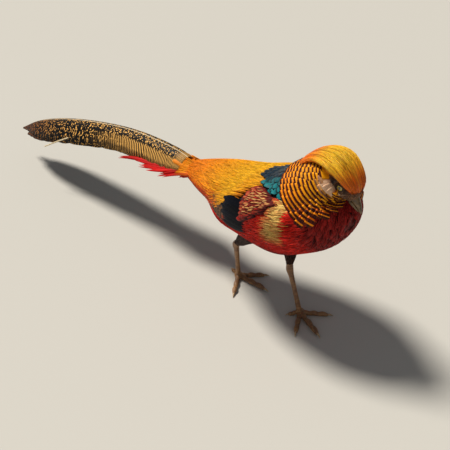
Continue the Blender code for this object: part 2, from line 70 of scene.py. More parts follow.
# %% Camera
CM = 0.01
LENS = 73.84
ROUND, ABOVE = math.radians(48), math.radians(35)  # the view's angles, from the bird's right side
VIEW_PLACE = Vector((0.66725899, -0.74294700, 0.84833181))
VIEW_RIGHT = Vector((math.cos(ROUND), math.sin(ROUND), 0.0))
VIEW_UP = Vector((-math.sin(ABOVE) * math.sin(ROUND), math.sin(ABOVE) * math.cos(ROUND), math.cos(ABOVE)))

camera = bpy.data.objects.new("Camera", bpy.data.cameras.new("Camera"))
bpy.context.scene.collection.objects.link(camera)
camera.data.lens = LENS
camera.data.sensor_width = 36.0
turn = Matrix((VIEW_RIGHT, VIEW_UP, VIEW_RIGHT.cross(VIEW_UP))).transposed()
camera.matrix_world = Matrix.Translation(VIEW_PLACE) @ turn.to_4x4()
bpy.context.scene.camera = camera
print("camera height", round(VIEW_PLACE.z, 3), "m")

# %% [markdown]
# ## Floor and light
# A museum would show the bird on a plain, pale floor. One large soft lamp stands high behind
# the bird, where the sun is in the photo, so that the crest and the back glow and the breast
# falls into shade. A dim sky and a low lamp in front keep the shade readable.

# %% Floor and light
FLOOR_SIZE = 8
FLOOR_DROP = 0.0002  # how far the floor lies under the soles
SUN_FROM = Vector((-0.50, -0.12, 0.86))
SUN_POWER, SUN_ANGLE = 4.3, math.radians(14)
FILL_FROM = Vector((1.4, -1.6, 0.9))
FILL_POWER, FILL_SIZE = 4.0, 1.6
SKY_COLOUR, SKY_POWER = (0.92, 0.96, 1.0, 1), 0.17


def add_floor():
    bpy.ops.mesh.primitive_plane_add(size=FLOOR_SIZE, location=(0, 0, -FLOOR_DROP))
    floor = bpy.context.object
    floor.name = "floor"
    finish = bpy.data.materials.new("pale_floor")
    finish.use_nodes = True
    shader = finish.node_tree.nodes["Principled BSDF"]
    shader.inputs["Base Color"].default_value = (0.52, 0.505, 0.47, 1)
    shader.inputs["Roughness"].default_value = 0.85
    floor.data.materials.append(finish)
    floor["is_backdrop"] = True


def add_lamp(name, kind, energy, away, colour, size):
    data = bpy.data.lights.new(name, kind)
    data.energy = energy
    data.color = colour
    if kind == "SUN":
        data.angle = size
    else:
        data.size = size
    lamp = bpy.data.objects.new(name, data)
    bpy.context.scene.collection.objects.link(lamp)
    lamp.location = away
    lamp.rotation_euler = Vector(away).to_track_quat("Z", "Y").to_euler()


add_floor()
add_lamp("key", "SUN", SUN_POWER, SUN_FROM * 3, (1.0, 0.95, 0.86), SUN_ANGLE)
add_lamp("fill", "AREA", FILL_POWER, FILL_FROM, (1.0, 0.97, 0.92), FILL_SIZE)
world = bpy.data.worlds.new("studio")
bpy.context.scene.world = world
world.use_nodes = True
sky = world.node_tree.nodes["Background"].inputs
sky["Color"].default_value = SKY_COLOUR
sky["Strength"].default_value = SKY_POWER
bpy.context.scene.view_settings.view_transform = "Standard"

# %% [markdown]
# ## Forms
# A bird's body is a chain of rounded sections. Each form here is a few stations in centimetres
# with a width and two heights, joined by a smooth curve. They are the same named sizes that
# the solids are built from, so skin and feathers fall exactly where the solids are.

# %% Forms of the body
M = -0.8  # the bird's middle plane, beside the forward foot, in cm
SIDES = {"right": -1, "left": 1}


def unit(vectors):
    return vectors / np.maximum(np.linalg.norm(vectors, axis=-1, keepdims=True), 1e-9)


def tube(rings):
    """Points and polygons of the closed body that joins rings of points."""
    count, sides, _ = rings.shape
    i, k = np.meshgrid(np.arange(count - 1), np.arange(sides), indexing="ij")
    n = (k + 1) % sides
    quads = np.stack([i * sides + k, i * sides + n, (i + 1) * sides + n, (i + 1) * sides + k], -1)
    caps = np.stack([np.arange(sides)[::-1], (count - 1) * sides + np.arange(sides)])
    return rings.reshape(-1, 3), [quads.reshape(-1, 4), caps]


def flow(form, t, angle):
    """Unit direction along a form's surface, towards the end of its line."""
    return unit(form.point(np.minimum(t + 0.01, 1), angle) - form.point(np.maximum(t - 0.01, 0), angle))


class Form:
    """A rounded body along a line. A station is x, y, z, half width, height above and below, in cm."""

    def __init__(self, *stations, top=(0, 0, 1)):
        self.stations = np.array(stations, float) * CM
        self.top = np.array(top, float)

    def station(self, t):
        """Smooth station values at t, which runs from 0 to 1 and may be an array."""
        t = np.asarray(t, float)
        s = self.stations
        last = len(s) - 1
        place = np.clip(t, 0, 1) * last
        i = np.minimum(place.astype(int), last - 1)
        f = (place - i)[..., None]
        b, c = s[i], s[i + 1]
        a = np.where((i > 0)[..., None], s[np.maximum(i - 1, 0)], 2 * b - c)
        d = np.where((i + 2 <= last)[..., None], s[np.minimum(i + 2, last)], 2 * c - b)
        return b + 0.5 * ((c - a) * f + (2 * a - 5 * b + 4 * c - d) * f**2 + (3 * b - a - 3 * c + d) * f**3)

    def axes(self, t):
        """Centre, sideways axis, upward axis and direction of the line."""
        t = np.asarray(t, float)
        ahead, behind = self.station(np.minimum(t + 0.01, 1)), self.station(np.maximum(t - 0.01, 0))
        along = unit(ahead[..., :3] - behind[..., :3])
        side = unit(np.cross(along, self.top))
        return self.station(t)[..., :3], side, unit(np.cross(side, along)), along

    def point(self, t, angle):
        """Points of the surface. Angle 0 is on top and a quarter turn is to the right of the line."""
        t, angle = np.broadcast_arrays(np.asarray(t, float), np.asarray(angle, float))
        centre, side, upward, _ = self.axes(t)
        values = self.station(t)
        tall = np.where(np.cos(angle) > 0, values[..., 4], values[..., 5])
        beside, over = np.sin(angle) * values[..., 3], np.cos(angle) * tall
        return centre + side * beside[..., None] + upward * over[..., None]

    def inset(self, depth):
        """The same form with its surface sunk by a depth in cm."""
        sunk = Form(*(self.stations / CM), top=self.top)
        sizes = sunk.stations[:, 3:]
        sunk.stations[:, 3:] = np.maximum(sizes - depth * CM, sizes * 0.35)
        return sunk

    def loft(self, rings=40, sides=40):
        """The closed body as points and polygons."""
        t = 0.5 - 0.5 * np.cos(np.pi * (0.02 + 0.96 * np.arange(rings + 1) / rings))
        return tube(self.point(t[:, None], 2 * np.pi * np.arange(sides) / sides))


TORSO = Form(
    (-22.8, M, 14.2, 0.9, 0.9, 0.9), (-18.8, M, 15.0, 2.6, 1.9, 2.0), (-14.8, M, 15.8, 4.1, 2.6, 3.1),
    (-10.5, M, 16.4, 5.3, 3.3, 4.5), (-6.0, M, 17.1, 6.0, 4.2, 6.4), (-1.5, M, 17.9, 6.2, 4.9, 7.0),
    (3.0, M, 18.8, 5.7, 4.8, 5.3), (6.4, M, 19.9, 4.2, 3.7, 3.7), (8.5, M, 20.9, 0.9, 0.9, 0.9))
RUFF = Form(
    (-1.6, M, 19.2, 5.4, 4.2, 4.0), (0.6, M, 20.9, 5.6, 4.2, 4.0), (2.5, M, 22.8, 5.0, 3.9, 3.6),
    (4.2, M, 24.8, 4.0, 3.1, 3.2), (5.6, M, 26.1, 2.7, 2.1, 2.6))
NECK = Form(
    (-1.6, M, 19.2, 5.0, 3.8, 3.7), (0.6, M, 20.9, 5.0, 3.6, 3.6), (2.4, M, 22.5, 4.2, 3.1, 3.1),
    (4.2, M, 24.2, 2.9, 2.3, 2.6), (5.6, M, 25.4, 1.9, 1.6, 1.9))
HEAD = Form(
    (4.0, M, 26.2, 0.8, 0.8, 0.8), (5.0, M, 26.1, 1.55, 1.5, 1.7), (6.4, M, 25.5, 1.7, 1.6, 1.9),
    (7.5, M, 24.9, 1.5, 1.3, 1.6), (8.3, M, 24.3, 0.95, 0.9, 0.95), (8.7, M, 24.0, 0.5, 0.5, 0.5))
CREST = Form(
    (8.65, M, 24.5, 0.6, 0.4, 0.4), (8.1, M, 26.1, 1.75, 1.0, 0.9), (5.9, M, 27.6, 2.5, 1.5, 1.1),
    (3.6, M, 27.2, 2.7, 1.6, 1.2), (1.4, M, 26.0, 2.2, 1.1, 1.0), (-0.2, M, 24.6, 1.1, 0.5, 0.4))
CREST_CORE = Form(
    (8.3, M, 25.4, 0.5, 0.4, 0.4), (7.6, M, 26.5, 1.4, 0.5, 0.6), (5.9, M, 27.1, 1.9, 0.7, 0.8),
    (4.0, M, 26.8, 1.9, 0.8, 0.9), (2.2, M, 26.0, 1.4, 0.6, 0.8), (1.0, M, 25.1, 0.5, 0.4, 0.4))
TAIL = Form(
    (-20.5, M, 14.6, 1.5, 0.9, 1.6), (-26.0, M - 0.2, 15.3, 3.2, 0.9, 3.0),
    (-36.0, M - 0.8, 14.6, 3.2, 0.8, 3.0), (-48.0, M - 2.0, 12.0, 3.7, 0.6, 3.4),
    (-58.0, M - 3.0, 8.5, 3.6, 0.4, 3.3), (-64.5, M - 3.6, 4.9, 1.6, 0.1, 1.4))
TAIL_STUB = Form(
    (-20.0, M, 14.5, 1.2, 0.75, 1.1), (-22.6, M - 0.1, 14.8, 1.5, 0.7, 1.3),
    (-24.4, M - 0.15, 15.1, 1.7, 0.6, 1.4), (-24.8, M - 0.15, 15.1, 1.2, 0.35, 0.95))


def wing_form(side):
    """The folded wing, from the wrist beside the breast to the tips beside the rump."""
    return Form(
        (3.6, M + side * 5.0, 19.6, 0.3, 0.8, 0.8), (2.2, M + side * 5.6, 19.4, 0.9, 2.0, 1.9),
        (-2.0, M + side * 6.0, 18.2, 1.0, 2.9, 2.7), (-6.5, M + side * 5.7, 16.9, 0.9, 2.8, 2.8),
        (-10.5, M + side * 5.0, 15.6, 0.6, 2.0, 2.2), (-13.4, M + side * 4.2, 14.8, 0.15, 0.5, 0.5))


class Wrap:
    """One smooth cover over bodies that lie side by side. Its rings are square to X, and its angles
    share out each ring evenly: 0 on top, a quarter turn on the bird's right, a half turn below."""

    FINE = 720

    def __init__(self, forms, rear, front, depth=0.0, rings=150, sides=120):
        self.rear, self.front = rear, front
        x = np.linspace(rear, front, rings) * CM
        theta = 2 * np.pi * np.arange(self.FINE) / self.FINE
        normal = np.stack([-np.sin(theta), np.cos(theta)], -1)
        tangent = np.stack([-np.cos(theta), -np.sin(theta)], -1)
        reach = np.full((rings, self.FINE), -1.0)
        middle = None
        for form in forms:
            line = form.station(np.linspace(0, 1, 400))
            line = line[np.argsort(line[:, 0])]
            values = np.stack([np.interp(x, line[:, 0], line[:, i]) for i in range(1, 6)], -1)
            middle = values[:, :2] if middle is None else middle
            tall = np.where(normal[:, 1] > 0, values[:, 3:4], values[:, 4:5])
            spread = np.hypot(values[:, 2:3] * normal[:, 0], tall * normal[:, 1])
            support = (values[:, :2] - middle) @ normal.T + spread
            inside = (x >= line[0, 0]) & (x <= line[-1, 0])
            reach = np.where(inside[:, None], np.maximum(reach, support), reach)
        for _ in range(6):
            reach = (np.roll(reach, 8, 1) + 2 * reach + np.roll(reach, -8, 1)) / 4
            reach[1:-1] = (reach[:-2] + 2 * reach[1:-1] + reach[2:]) / 4
        reach = np.maximum(reach - depth * CM, reach * 0.35)
        slope = (np.roll(reach, -1, 1) - np.roll(reach, 1, 1)) * self.FINE / (4 * np.pi)
        outline = reach[..., None] * normal + slope[..., None] * tangent
        outline = np.concatenate([outline, outline[:, :1]], 1)
        walked = np.cumsum(np.linalg.norm(np.diff(outline, axis=1), axis=2), axis=1)
        walked = np.concatenate([np.zeros((rings, 1)), walked], 1)
        self.points = np.empty((rings, sides + 1, 3))
        for i in range(rings):
            even = np.linspace(0, walked[i, -1], sides + 1)
            self.points[i, :, 0] = x[i]
            for axis in (0, 1):
                offset = np.interp(even, walked[i], outline[i, :, axis])
                self.points[i, :, axis + 1] = middle[i, axis] + offset

    def t(self, x):
        """Place along the cover for an x in cm."""
        return (np.asarray(x, float) - self.rear) / (self.front - self.rear)

    def point(self, t, angle):
        t, angle = np.broadcast_arrays(np.asarray(t, float), np.asarray(angle, float))
        row = np.clip(t, 0, 1) * (self.points.shape[0] - 1)
        column = (angle / (2 * np.pi) % 1) * (self.points.shape[1] - 1)
        i = np.minimum(row.astype(int), self.points.shape[0] - 2)
        k = np.minimum(column.astype(int), self.points.shape[1] - 2)
        f, g = (row - i)[..., None], (column - k)[..., None]
        low = self.points[i, k] * (1 - g) + self.points[i, k + 1] * g
        high = self.points[i + 1, k] * (1 - g) + self.points[i + 1, k + 1] * g
        return low * (1 - f) + high * f

    def loft(self):
        return tube(self.points[:, :-1])


BODY_FORMS = [TORSO, wing_form(-1), wing_form(1)]
BODY = Wrap(BODY_FORMS, -22.6, 8.4)
print("torso length in cm:", round(float(np.ptp(TORSO.stations[:, 0]) / CM), 1))

# %% [markdown]
# ## Legs
# The bird steps out with its left foot, and the right foot is still behind it. Each leg is
# known by its joints and by the direction, length and radius of its toes.

# %% Forms of the legs
FORWARD = (1, 0, 0)


class Leg:
    """Sole, hock, knee and hip in cm, and the toes as direction in degrees, length and radius."""

    def __init__(self, sole, hock, knee, hip, toes):
        joints = (np.array(joint, float) for joint in (sole, hock, knee, hip))
        self.sole, self.hock, self.knee, self.hip = joints
        self.toes = toes

    def thigh(self):
        stations = []
        flesh_rings = ((0.14, 0.42), (0.34, 0.78), (0.62, 1.1), (1.0, 1.5))
        for share, r in flesh_rings:
            stations.append((*(self.hock + share * (self.knee - self.hock)), r, r, r))
        stations.append((*self.hip, 1.8, 2.0, 2.0))
        return Form(*stations, top=FORWARD)

    def shank(self):
        stations = []
        bone = ((0.07, 0.44, 0.42), (0.16, 0.36, 0.36), (0.5, 0.30, 0.36), (0.85, 0.36, 0.42))
        for share, width, depth in bone:
            stations.append((*(self.sole + share * (self.hock - self.sole)), width, depth, depth))
        stations.append((*self.hock, 0.48, 0.55, 0.55))
        stations.append((*(self.hock + 0.24 * (self.knee - self.hock)), 0.36, 0.40, 0.40))
        return Form(*stations, top=FORWARD)

    def on_toe(self, angle, distance):
        """X and y of the place at a distance along a toe, in cm."""
        way = np.array((math.cos(math.radians(angle)), math.sin(math.radians(angle)), 0.0))
        return (self.sole + way * distance)[:2]

    def toe(self, angle, length, radius, rear):
        lift, fall = (0.85, 1.6) if rear else (0.42, 3.0)
        knuckles = (
            (0.0, 0.9), (0.18, 1.0), (0.34, 0.82), (0.5, 1.04), (0.66, 0.78), (0.82, 0.98), (1.0, 0.55))
        stations = []
        for share, swell in knuckles:
            r = radius * swell
            height = r - 0.05 + (lift - r) * max(0.0, 1 - share * fall)
            stations.append((*self.on_toe(angle, length * share), height, r, r, r))
        return Form(*stations)

    def claw(self, angle, length, radius):
        claw_length = 0.95 if length > 2.5 else 0.6
        hook = ((0.0, 0.42, 0.20), (0.3, 0.40, 0.26), (0.65, 0.26, 0.20), (1.0, 0.05, 0.04))
        stations = []
        for share, size, height in hook:
            place = self.on_toe(angle, length - 0.15 + claw_length * share)
            stations.append((*place, height, radius * size, radius * size, radius * size))
        return Form(*stations)


LEGS = {
    "left": Leg(
        (0.0, 0.0, 0.0), (-2.6, 0.2, 6.5), (-3.2, M + 1.6, 12.8), (-2.4, M + 2.2, 16.0),
        {"inner": (-54, 4.2, 0.36), "middle": (-17, 4.9, 0.40),
         "outer": (42, 3.9, 0.36), "rear": (-122, 1.7, 0.30)}),
    "right": Leg(
        (-12.0, -0.7, 0.0), (-11.2, -2.0, 7.1), (-5.8, M - 2.9, 13.0), (-3.6, M - 2.6, 15.5),
        {"inner": (50, 3.8, 0.36), "middle": (8, 4.8, 0.40),
         "outer": (-52, 4.2, 0.36), "rear": (168, 1.8, 0.30)}),
}
print("shank length in cm:", round(float(np.linalg.norm(LEGS["right"].hock - LEGS["right"].sole)), 1))

# %% [markdown]
# ## Meshes from arrays
# Thousands of feathers are too many objects, so each tract becomes one mesh, filled straight
# from number arrays. A map or a value is given for each point and copied to its corners.

# %% Meshes from arrays
def add_mesh(name, points, polygons, finish=None, maps=None, values=None):
    """One object. Polygons is a list of index arrays, each with its own number of corners."""
    mesh = bpy.data.meshes.new(name)
    corners = np.concatenate([rows.ravel() for rows in polygons]).astype(np.int32)
    sizes = np.concatenate([np.full(len(rows), rows.shape[1]) for rows in polygons])
    mesh.vertices.add(len(points))
    mesh.vertices.foreach_set("co", np.asarray(points, np.float32).ravel())
    mesh.loops.add(len(corners))
    mesh.loops.foreach_set("vertex_index", corners)
    mesh.polygons.add(len(sizes))
    mesh.polygons.foreach_set("loop_start", np.concatenate([[0], np.cumsum(sizes)[:-1]]).astype(np.int32))
    mesh.polygons.foreach_set("use_smooth", np.ones(len(sizes), bool))
    mesh.update(calc_edges=True)
    for map_name, per_point in (maps or {}).items():
        layer = mesh.uv_layers.new(name=map_name)
        layer.data.foreach_set("uv", np.asarray(per_point, np.float32)[corners].ravel())
    for value_name, per_point in (values or {}).items():
        attribute = mesh.attributes.new(value_name, "FLOAT", "POINT")
        attribute.data.foreach_set("value", np.asarray(per_point, np.float32))
    obj = bpy.data.objects.new(name, mesh)
    bpy.context.scene.collection.objects.link(obj)
    if finish:
        mesh.materials.append(finish)
    return obj


def triangles(obj):
    return sum(len(p.vertices) - 2 for p in obj.data.polygons)


def joined(parts):
    """Several lofts as the points and polygons of one mesh."""
    points, polygons, first = [], [], 0
    for part_points, part_polygons in parts:
        points.append(part_points)
        polygons.extend(rows + first for rows in part_polygons)
        first += len(part_points)
    return np.concatenate(points), polygons


def applied(obj):
    """Replaces an object's mesh by its evaluated one, with all modifiers applied."""
    graph = bpy.context.evaluated_depsgraph_get()
    made = bpy.data.meshes.new_from_object(obj.evaluated_get(graph))
    obj.modifiers.clear()
    obj.data = made


def flesh(name, lofts, voxel, smoothing):
    """One closed skin over some overlapping lofts, with the places where they meet rounded off."""
    obj = add_mesh(name, *joined(lofts))
    remesh = obj.modifiers.new("Remesh", "REMESH")
    remesh.mode = "VOXEL"
    remesh.voxel_size = voxel
    smooth = obj.modifiers.new("Smooth", "SMOOTH")
    smooth.factor = 0.5
    smooth.iterations = smoothing
    applied(obj)
    obj.data.shade_smooth()
    return obj


def coordinates(obj):
    points = np.empty(len(obj.data.vertices) * 3, np.float32)
    obj.data.vertices.foreach_get("co", points)
    return points.reshape(-1, 3).astype(float)


def normals(obj):
    found = np.empty(len(obj.data.vertices) * 3, np.float32)
    obj.data.vertices.foreach_get("normal", found)
    return found.reshape(-1, 3).astype(float)


def set_coordinates(obj, points):
    obj.data.vertices.foreach_set("co", np.asarray(points, np.float32).ravel())
    obj.data.update()


def set_value(obj, name, values):
    attribute = obj.data.attributes.new(name, "FLOAT", "POINT")
    attribute.data.foreach_set("value", np.asarray(values, np.float32))


def set_finish(obj, finish):
    obj.data.materials.clear()
    obj.data.materials.append(finish)


def finish_piece(obj, slot, *nodes):
    """Puts a finished piece on the bird, in place of some nodes."""
    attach(obj, "root")
    if nodes:
        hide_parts(*nodes)
    print(obj.name, triangles(obj), "triangles")


# %% [markdown]
# ## Effects that feathers share
# A vane is a comb of barbs on both sides of a shaft. All tracts show the barbs, most show a
# rim or a shaft line, and no two feathers have the same tone. Each effect is one node group,
# and each material sets its own values. The groups read the map of a feather: U runs across
# it and V from root to tip.

# %% Tools for node groups
class Graph:
    """A thin helper that adds nodes to a tree and links them as it goes."""

    def __init__(self, tree):
        self.tree = tree

    def put(self, socket, value):
        if isinstance(value, bpy.types.NodeSocket):
            self.tree.links.new(value, socket)
        elif value is not None:
            socket.default_value = value

    def node(self, kind, inputs=None, **settings):
        made = self.tree.nodes.new(kind)
        for key, value in settings.items():
            setattr(made, key, value)
        for key, value in (inputs or {}).items():
            self.put(made.inputs[key], value)
        return made

    def math(self, operation, a, b=None, c=None, clamp=False):
        made = self.node("ShaderNodeMath", operation=operation, use_clamp=clamp)
        for socket, value in zip(made.inputs, (a, b, c)):
            self.put(socket, value)
        return made.outputs[0]

    def times(self, a, b):
        return self.math("MULTIPLY", a, b)

    def plus(self, a, b, clamp=False):
        return self.math("ADD", a, b, clamp=clamp)

    def minus(self, a, b):
        return self.math("SUBTRACT", a, b)

    def ramp(self, value, low, high, start=0.0, end=1.0):
        """A smooth step from start to end, as the value goes from low to high."""
        inputs = {"Value": value, "From Min": low, "From Max": high, "To Min": start, "To Max": end}
        return self.node("ShaderNodeMapRange", inputs, interpolation_type="SMOOTHSTEP").outputs[0]

    def mix(self, mask, first, second, blend="MIX"):
        made = self.node("ShaderNodeMix", data_type="RGBA", blend_type=blend)
        self.put(made.inputs[0], mask)
        self.put(made.inputs[6], first if isinstance(first, bpy.types.NodeSocket) else (*first, 1))
        self.put(made.inputs[7], second if isinstance(second, bpy.types.NodeSocket) else (*second, 1))
        return made.outputs[2]

    def noise(self, vector, scale, detail=2.0, roughness=0.5):
        inputs = {"Vector": vector, "Scale": scale, "Detail": detail, "Roughness": roughness}
        return self.node("ShaderNodeTexNoise", inputs).outputs["Fac"]

    def cells(self, vector, scale, randomness=1.0, **settings):
        inputs = {"Vector": vector, "Scale": scale, "Randomness": randomness}
        return self.node("ShaderNodeTexVoronoi", inputs, **settings).outputs["Distance"]

    def point(self, x, y, z):
        return self.node("ShaderNodeCombineXYZ", {0: x, 1: y, 2: z}).outputs[0]

    def vane(self, place):
        """How far across and along its vane a point is, from 0 to 1, and how far from the shaft."""
        across, along, _ = self.node("ShaderNodeSeparateXYZ", {0: place}).outputs
        return across, along, self.math("ABSOLUTE", self.minus(across, 0.5))

    def value(self, name):
        return self.node("ShaderNodeAttribute", attribute_name=name).outputs["Fac"]

    def map(self):
        return self.node("ShaderNodeUVMap", uv_map="Vane").outputs[0]

    def place(self):
        return self.node("ShaderNodeNewGeometry").outputs["Position"]

    def group(self, tree, **inputs):
        made = self.node("ShaderNodeGroup")
        made.node_tree = tree
        for key, value in inputs.items():
            self.put(made.inputs[key.replace("_", " ").title()], value)
        return made.outputs


def new_group(name, inputs, outputs):
    """An empty shader group with named sockets. Gives its graph and its inner ends."""
    tree = bpy.data.node_groups.new(name, "ShaderNodeTree")
    for socket, default in inputs.items():
        kind = "NodeSocketVector" if default is None else "NodeSocketFloat"
        made = tree.interface.new_socket(socket, in_out="INPUT", socket_type=kind)
        if default is not None:
            made.default_value = default
    for socket in outputs:
        tree.interface.new_socket(socket, in_out="OUTPUT", socket_type="NodeSocketFloat")
    graph = Graph(tree)
    start, end = graph.node("NodeGroupInput"), graph.node("NodeGroupOutput")
    return graph, start.outputs, end.inputs


print("graph tools ready")

# %% Group: barbs
def barbs_group():
    """Fine ridges that leave the shaft at a slant, and silky streaks between them."""
    inputs = {"Map": None, "Count": 40.0, "Slant": 12.0, "Tone": 0.5}
    graph, start, end = new_group("Barbs", inputs, ["Ridge", "Streak"])
    across, along, from_shaft = graph.vane(start["Map"])
    phase = graph.minus(graph.times(along, start["Count"]), graph.times(from_shaft, start["Slant"]))
    wave = graph.math("SINE", graph.times(phase, 2 * math.pi))
    graph.put(end["Ridge"], graph.math("MULTIPLY_ADD", wave, 0.5, 0.5))
    drawn = graph.times(graph.minus(along, from_shaft), 2.2)
    vector = graph.point(graph.times(across, 11.0), drawn, graph.times(start["Tone"], 57.0))
    graph.put(end["Streak"], graph.noise(vector, 1.6, 3.0, 0.6))
    return graph.tree


BARBS = barbs_group()
print("group", BARBS.name)

# %% Group: rim and shaft
def rim_group():
    """One mask for the rim of a vane and one for its shaft."""
    inputs = {"Map": None, "Side Width": 0.12, "Tip Width": 0.1, "Shaft Width": 0.03}
    graph, start, end = new_group("Rim and Shaft", inputs, ["Rim", "Shaft"])
    _, along, from_shaft = graph.vane(start["Map"])
    ragged = graph.math("MULTIPLY_ADD", graph.noise(start["Map"], 14.0), 0.5, 0.75)
    to_side = graph.math("DIVIDE", graph.minus(0.5, from_shaft), start["Side Width"])
    to_tip = graph.math("DIVIDE", graph.minus(1.0, along), start["Tip Width"])
    nearest = graph.times(graph.math("MINIMUM", to_side, to_tip), ragged)
    graph.put(end["Rim"], graph.ramp(nearest, 0.75, 1.15, 1.0, 0.0))
    to_shaft = graph.math("DIVIDE", from_shaft, start["Shaft Width"])
    graph.put(end["Shaft"], graph.ramp(to_shaft, 0.5, 1.3, 1.0, 0.0))
    return graph.tree


RIM = rim_group()
print("group", RIM.name)

# %% Group: bars across a vane
def bars_group():
    """Bars across a vane, bent at the shaft and a little uneven."""
    inputs = {"Map": None, "Count": 6.0, "Share": 0.5, "Bend": 0.1, "Wobble": 0.2, "Tone": 0.5}
    graph, start, end = new_group("Bars", inputs, ["Bar"])
    _, along, from_shaft = graph.vane(start["Map"])
    bent = graph.times(graph.math("POWER", from_shaft, 2.0), start["Bend"])
    moved = graph.point(0.0, 0.0, graph.times(start["Tone"], 31.0))
    vector = graph.node("ShaderNodeVectorMath", {0: start["Map"], 1: moved}, operation="ADD").outputs[0]
    uneven = graph.times(graph.minus(graph.noise(vector, 7.0), 0.5), start["Wobble"])
    phase = graph.math("MULTIPLY_ADD", graph.plus(along, bent), start["Count"], uneven)
    wave = graph.math("ABSOLUTE", graph.math("MULTIPLY_ADD", graph.math("FRACT", phase), 2.0, -1.0))
    graph.put(end["Bar"], graph.ramp(graph.minus(start["Share"], wave), -0.08, 0.08))
    return graph.tree


BARS = bars_group()
print("group", BARS.name)

# %% Group: tone
def tone_group():
    """How light each feather is: its own tone, and a slow drift over the body."""
    inputs = {"Place": None, "Tone": 0.5, "Own": 0.3, "Drift": 0.2, "Scale": 40.0}
    graph, start, end = new_group("Tone", inputs, ["Value"])
    cloud = graph.noise(start["Place"], start["Scale"])
    drift = graph.times(graph.minus(cloud, 0.5), start["Drift"])
    own = graph.times(graph.minus(start["Tone"], 0.5), start["Own"])
    graph.put(end["Value"], graph.plus(1.0, graph.plus(drift, own)))
    return graph.tree


TONE = tone_group()
print("group", TONE.name)

# %% [markdown]
# ## One recipe for feather materials
# Silky feathers scatter light softly with a sheen at grazing angles, and firm ones are
# glossier. The recipe paints root and tip, then the change over the tract, streaks, rim and
# shaft, and ends with the feather's own tone. The barbs and streaks also raise the surface.

# %% Feather material
def new_material(name, roughness, specular=0.4, sheen=0.0, coat=0.0, coat_roughness=0.2):
    made = bpy.data.materials.new(name)
    made.use_nodes = True
    shader = made.node_tree.nodes["Principled BSDF"]
    constants = {
        "Roughness": roughness, "Specular IOR Level": specular, "Sheen Weight": sheen,
        "Sheen Roughness": 0.35, "Coat Weight": coat, "Coat Roughness": coat_roughness}
    for socket, value in constants.items():
        shader.inputs[socket].default_value = value
    return made, Graph(made.node_tree), shader


def toned(graph, colour, own, drift, scale=40.0):
    """The colour with each feather's own tone and the drift over the body."""
    tone = graph.value("tone")
    value = graph.group(TONE, place=graph.place(), tone=tone, own=own, drift=drift, scale=scale)[0]
    return graph.node("ShaderNodeHueSaturation", {"Value": value, "Color": colour}).outputs[0]


def raised(graph, shader, height, strength, distance):
    bump = graph.node("ShaderNodeBump", {"Height": height, "Strength": strength, "Distance": distance})
    graph.put(shader.inputs["Normal"], bump.outputs[0])


def plume(name, root, tip, tip_from=0.5, tip_to=1.0, shift=None, shift_tip=None, dark=(0.02, 0.01, 0.01),
          streak=0.4, rim=None, side_width=0.12, tip_width=0.1, shaft=None, shaft_width=0.03, barbs=30.0,
          slant=10.0, own=0.3, drift=0.2, roughness=0.5, bump=0.35, paint=None, **shine):
    """A feather material. Shift is a second pair of colours, mixed in by the value called shift.
    Paint is a function that puts a tract's own pattern between the plain colours and the streaks."""
    made, graph, shader = new_material(name, roughness, **shine)
    place = graph.map()
    tone = graph.value("tone")
    comb = graph.group(BARBS, map=place, count=barbs, slant=slant, tone=tone)
    length = graph.node("ShaderNodeSeparateXYZ", {0: place}).outputs[1]
    to_tip = graph.ramp(length, tip_from, tip_to)
    colour = graph.mix(to_tip, root, tip)
    if shift:
        colour = graph.mix(graph.value("shift"), colour, graph.mix(to_tip, shift, shift_tip or shift))
    if paint:
        colour = paint(graph, colour, place, tone)
    colour = graph.mix(graph.ramp(comb["Streak"], 0.36, 0.62, streak, 0.0), colour, dark)
    edges = graph.group(RIM, map=place, side_width=side_width, tip_width=tip_width, shaft_width=shaft_width)
    if rim:
        colour = graph.mix(edges["Rim"], colour, rim)
    if shaft:
        colour = graph.mix(graph.times(edges["Shaft"], 0.85), colour, shaft)
    graph.put(shader.inputs["Base Color"], toned(graph, colour, own, drift))
    height = graph.plus(graph.times(comb["Ridge"], 0.4), comb["Streak"])
    raised(graph, shader, graph.plus(height, edges["Shaft"]), bump, 0.0006)
    return made


print("feather recipe ready")

# %% [markdown]
# ## The skin
# Under the feathers is one skin. The lofts of body, neck, head, wings and thighs overlap, and a
# voxel remesh melts them into a single closed surface, as clay would be. It lies under the
# solids by the depth of the coat, so the feathers have room.

# %% Skin
COAT = 0.40  # depth of the body feathers over the skin, in cm
SKIN_VOXEL, LEG_VOXEL = 0.0011, 0.0006  # how fine the two kinds of skin are melted, in m
EYE_PLACE = {name: np.array((7.15, M + side * 1.22, 25.5)) * CM for name, side in SIDES.items()}
EYE_RADIUS = 0.52 * CM


def ball_loft(centre, radii):
    """An ellipsoid, with its centre in metres and its radii in cm."""
    x, y, z = centre / CM
    a, b, c = radii
    stations = []
    for share in np.linspace(-1, 1, 9):
        r = math.sqrt(max(1 - share * share, 0.0004))
        stations.append((x + a * share, y, z, b * r, c * r, c * r))
    return Form(*stations).loft(16, 20)


def skin_lofts():
    lofts = [
        Wrap(BODY_FORMS, -22.0, 8.0, COAT).loft(), NECK.loft(40, 50), HEAD.inset(0.06).loft(40, 40),
        CREST_CORE.inset(0.05).loft(40, 30), TAIL_STUB.inset(0.1).loft(16, 24),
    ]
    for name, side in SIDES.items():
        lofts.append(LEGS[name].thigh().inset(0.3).loft(30, 24))
        lofts.append(ball_loft(EYE_PLACE[name], (0.64, 0.60, 0.62)))
    return lofts


skin = flesh("skin", skin_lofts(), SKIN_VOXEL, 5)
print("skin", triangles(skin), "triangles")

# %% [markdown]
# ## Face
# The face of a cock is nearly bare: a ring of lids stands up round the eye, wrinkled skin
# with a small wattle hangs below it, and the cheek bulges over the gape. The skin's points
# are pushed along their normals, and then the eye is opened with a Boolean cut.

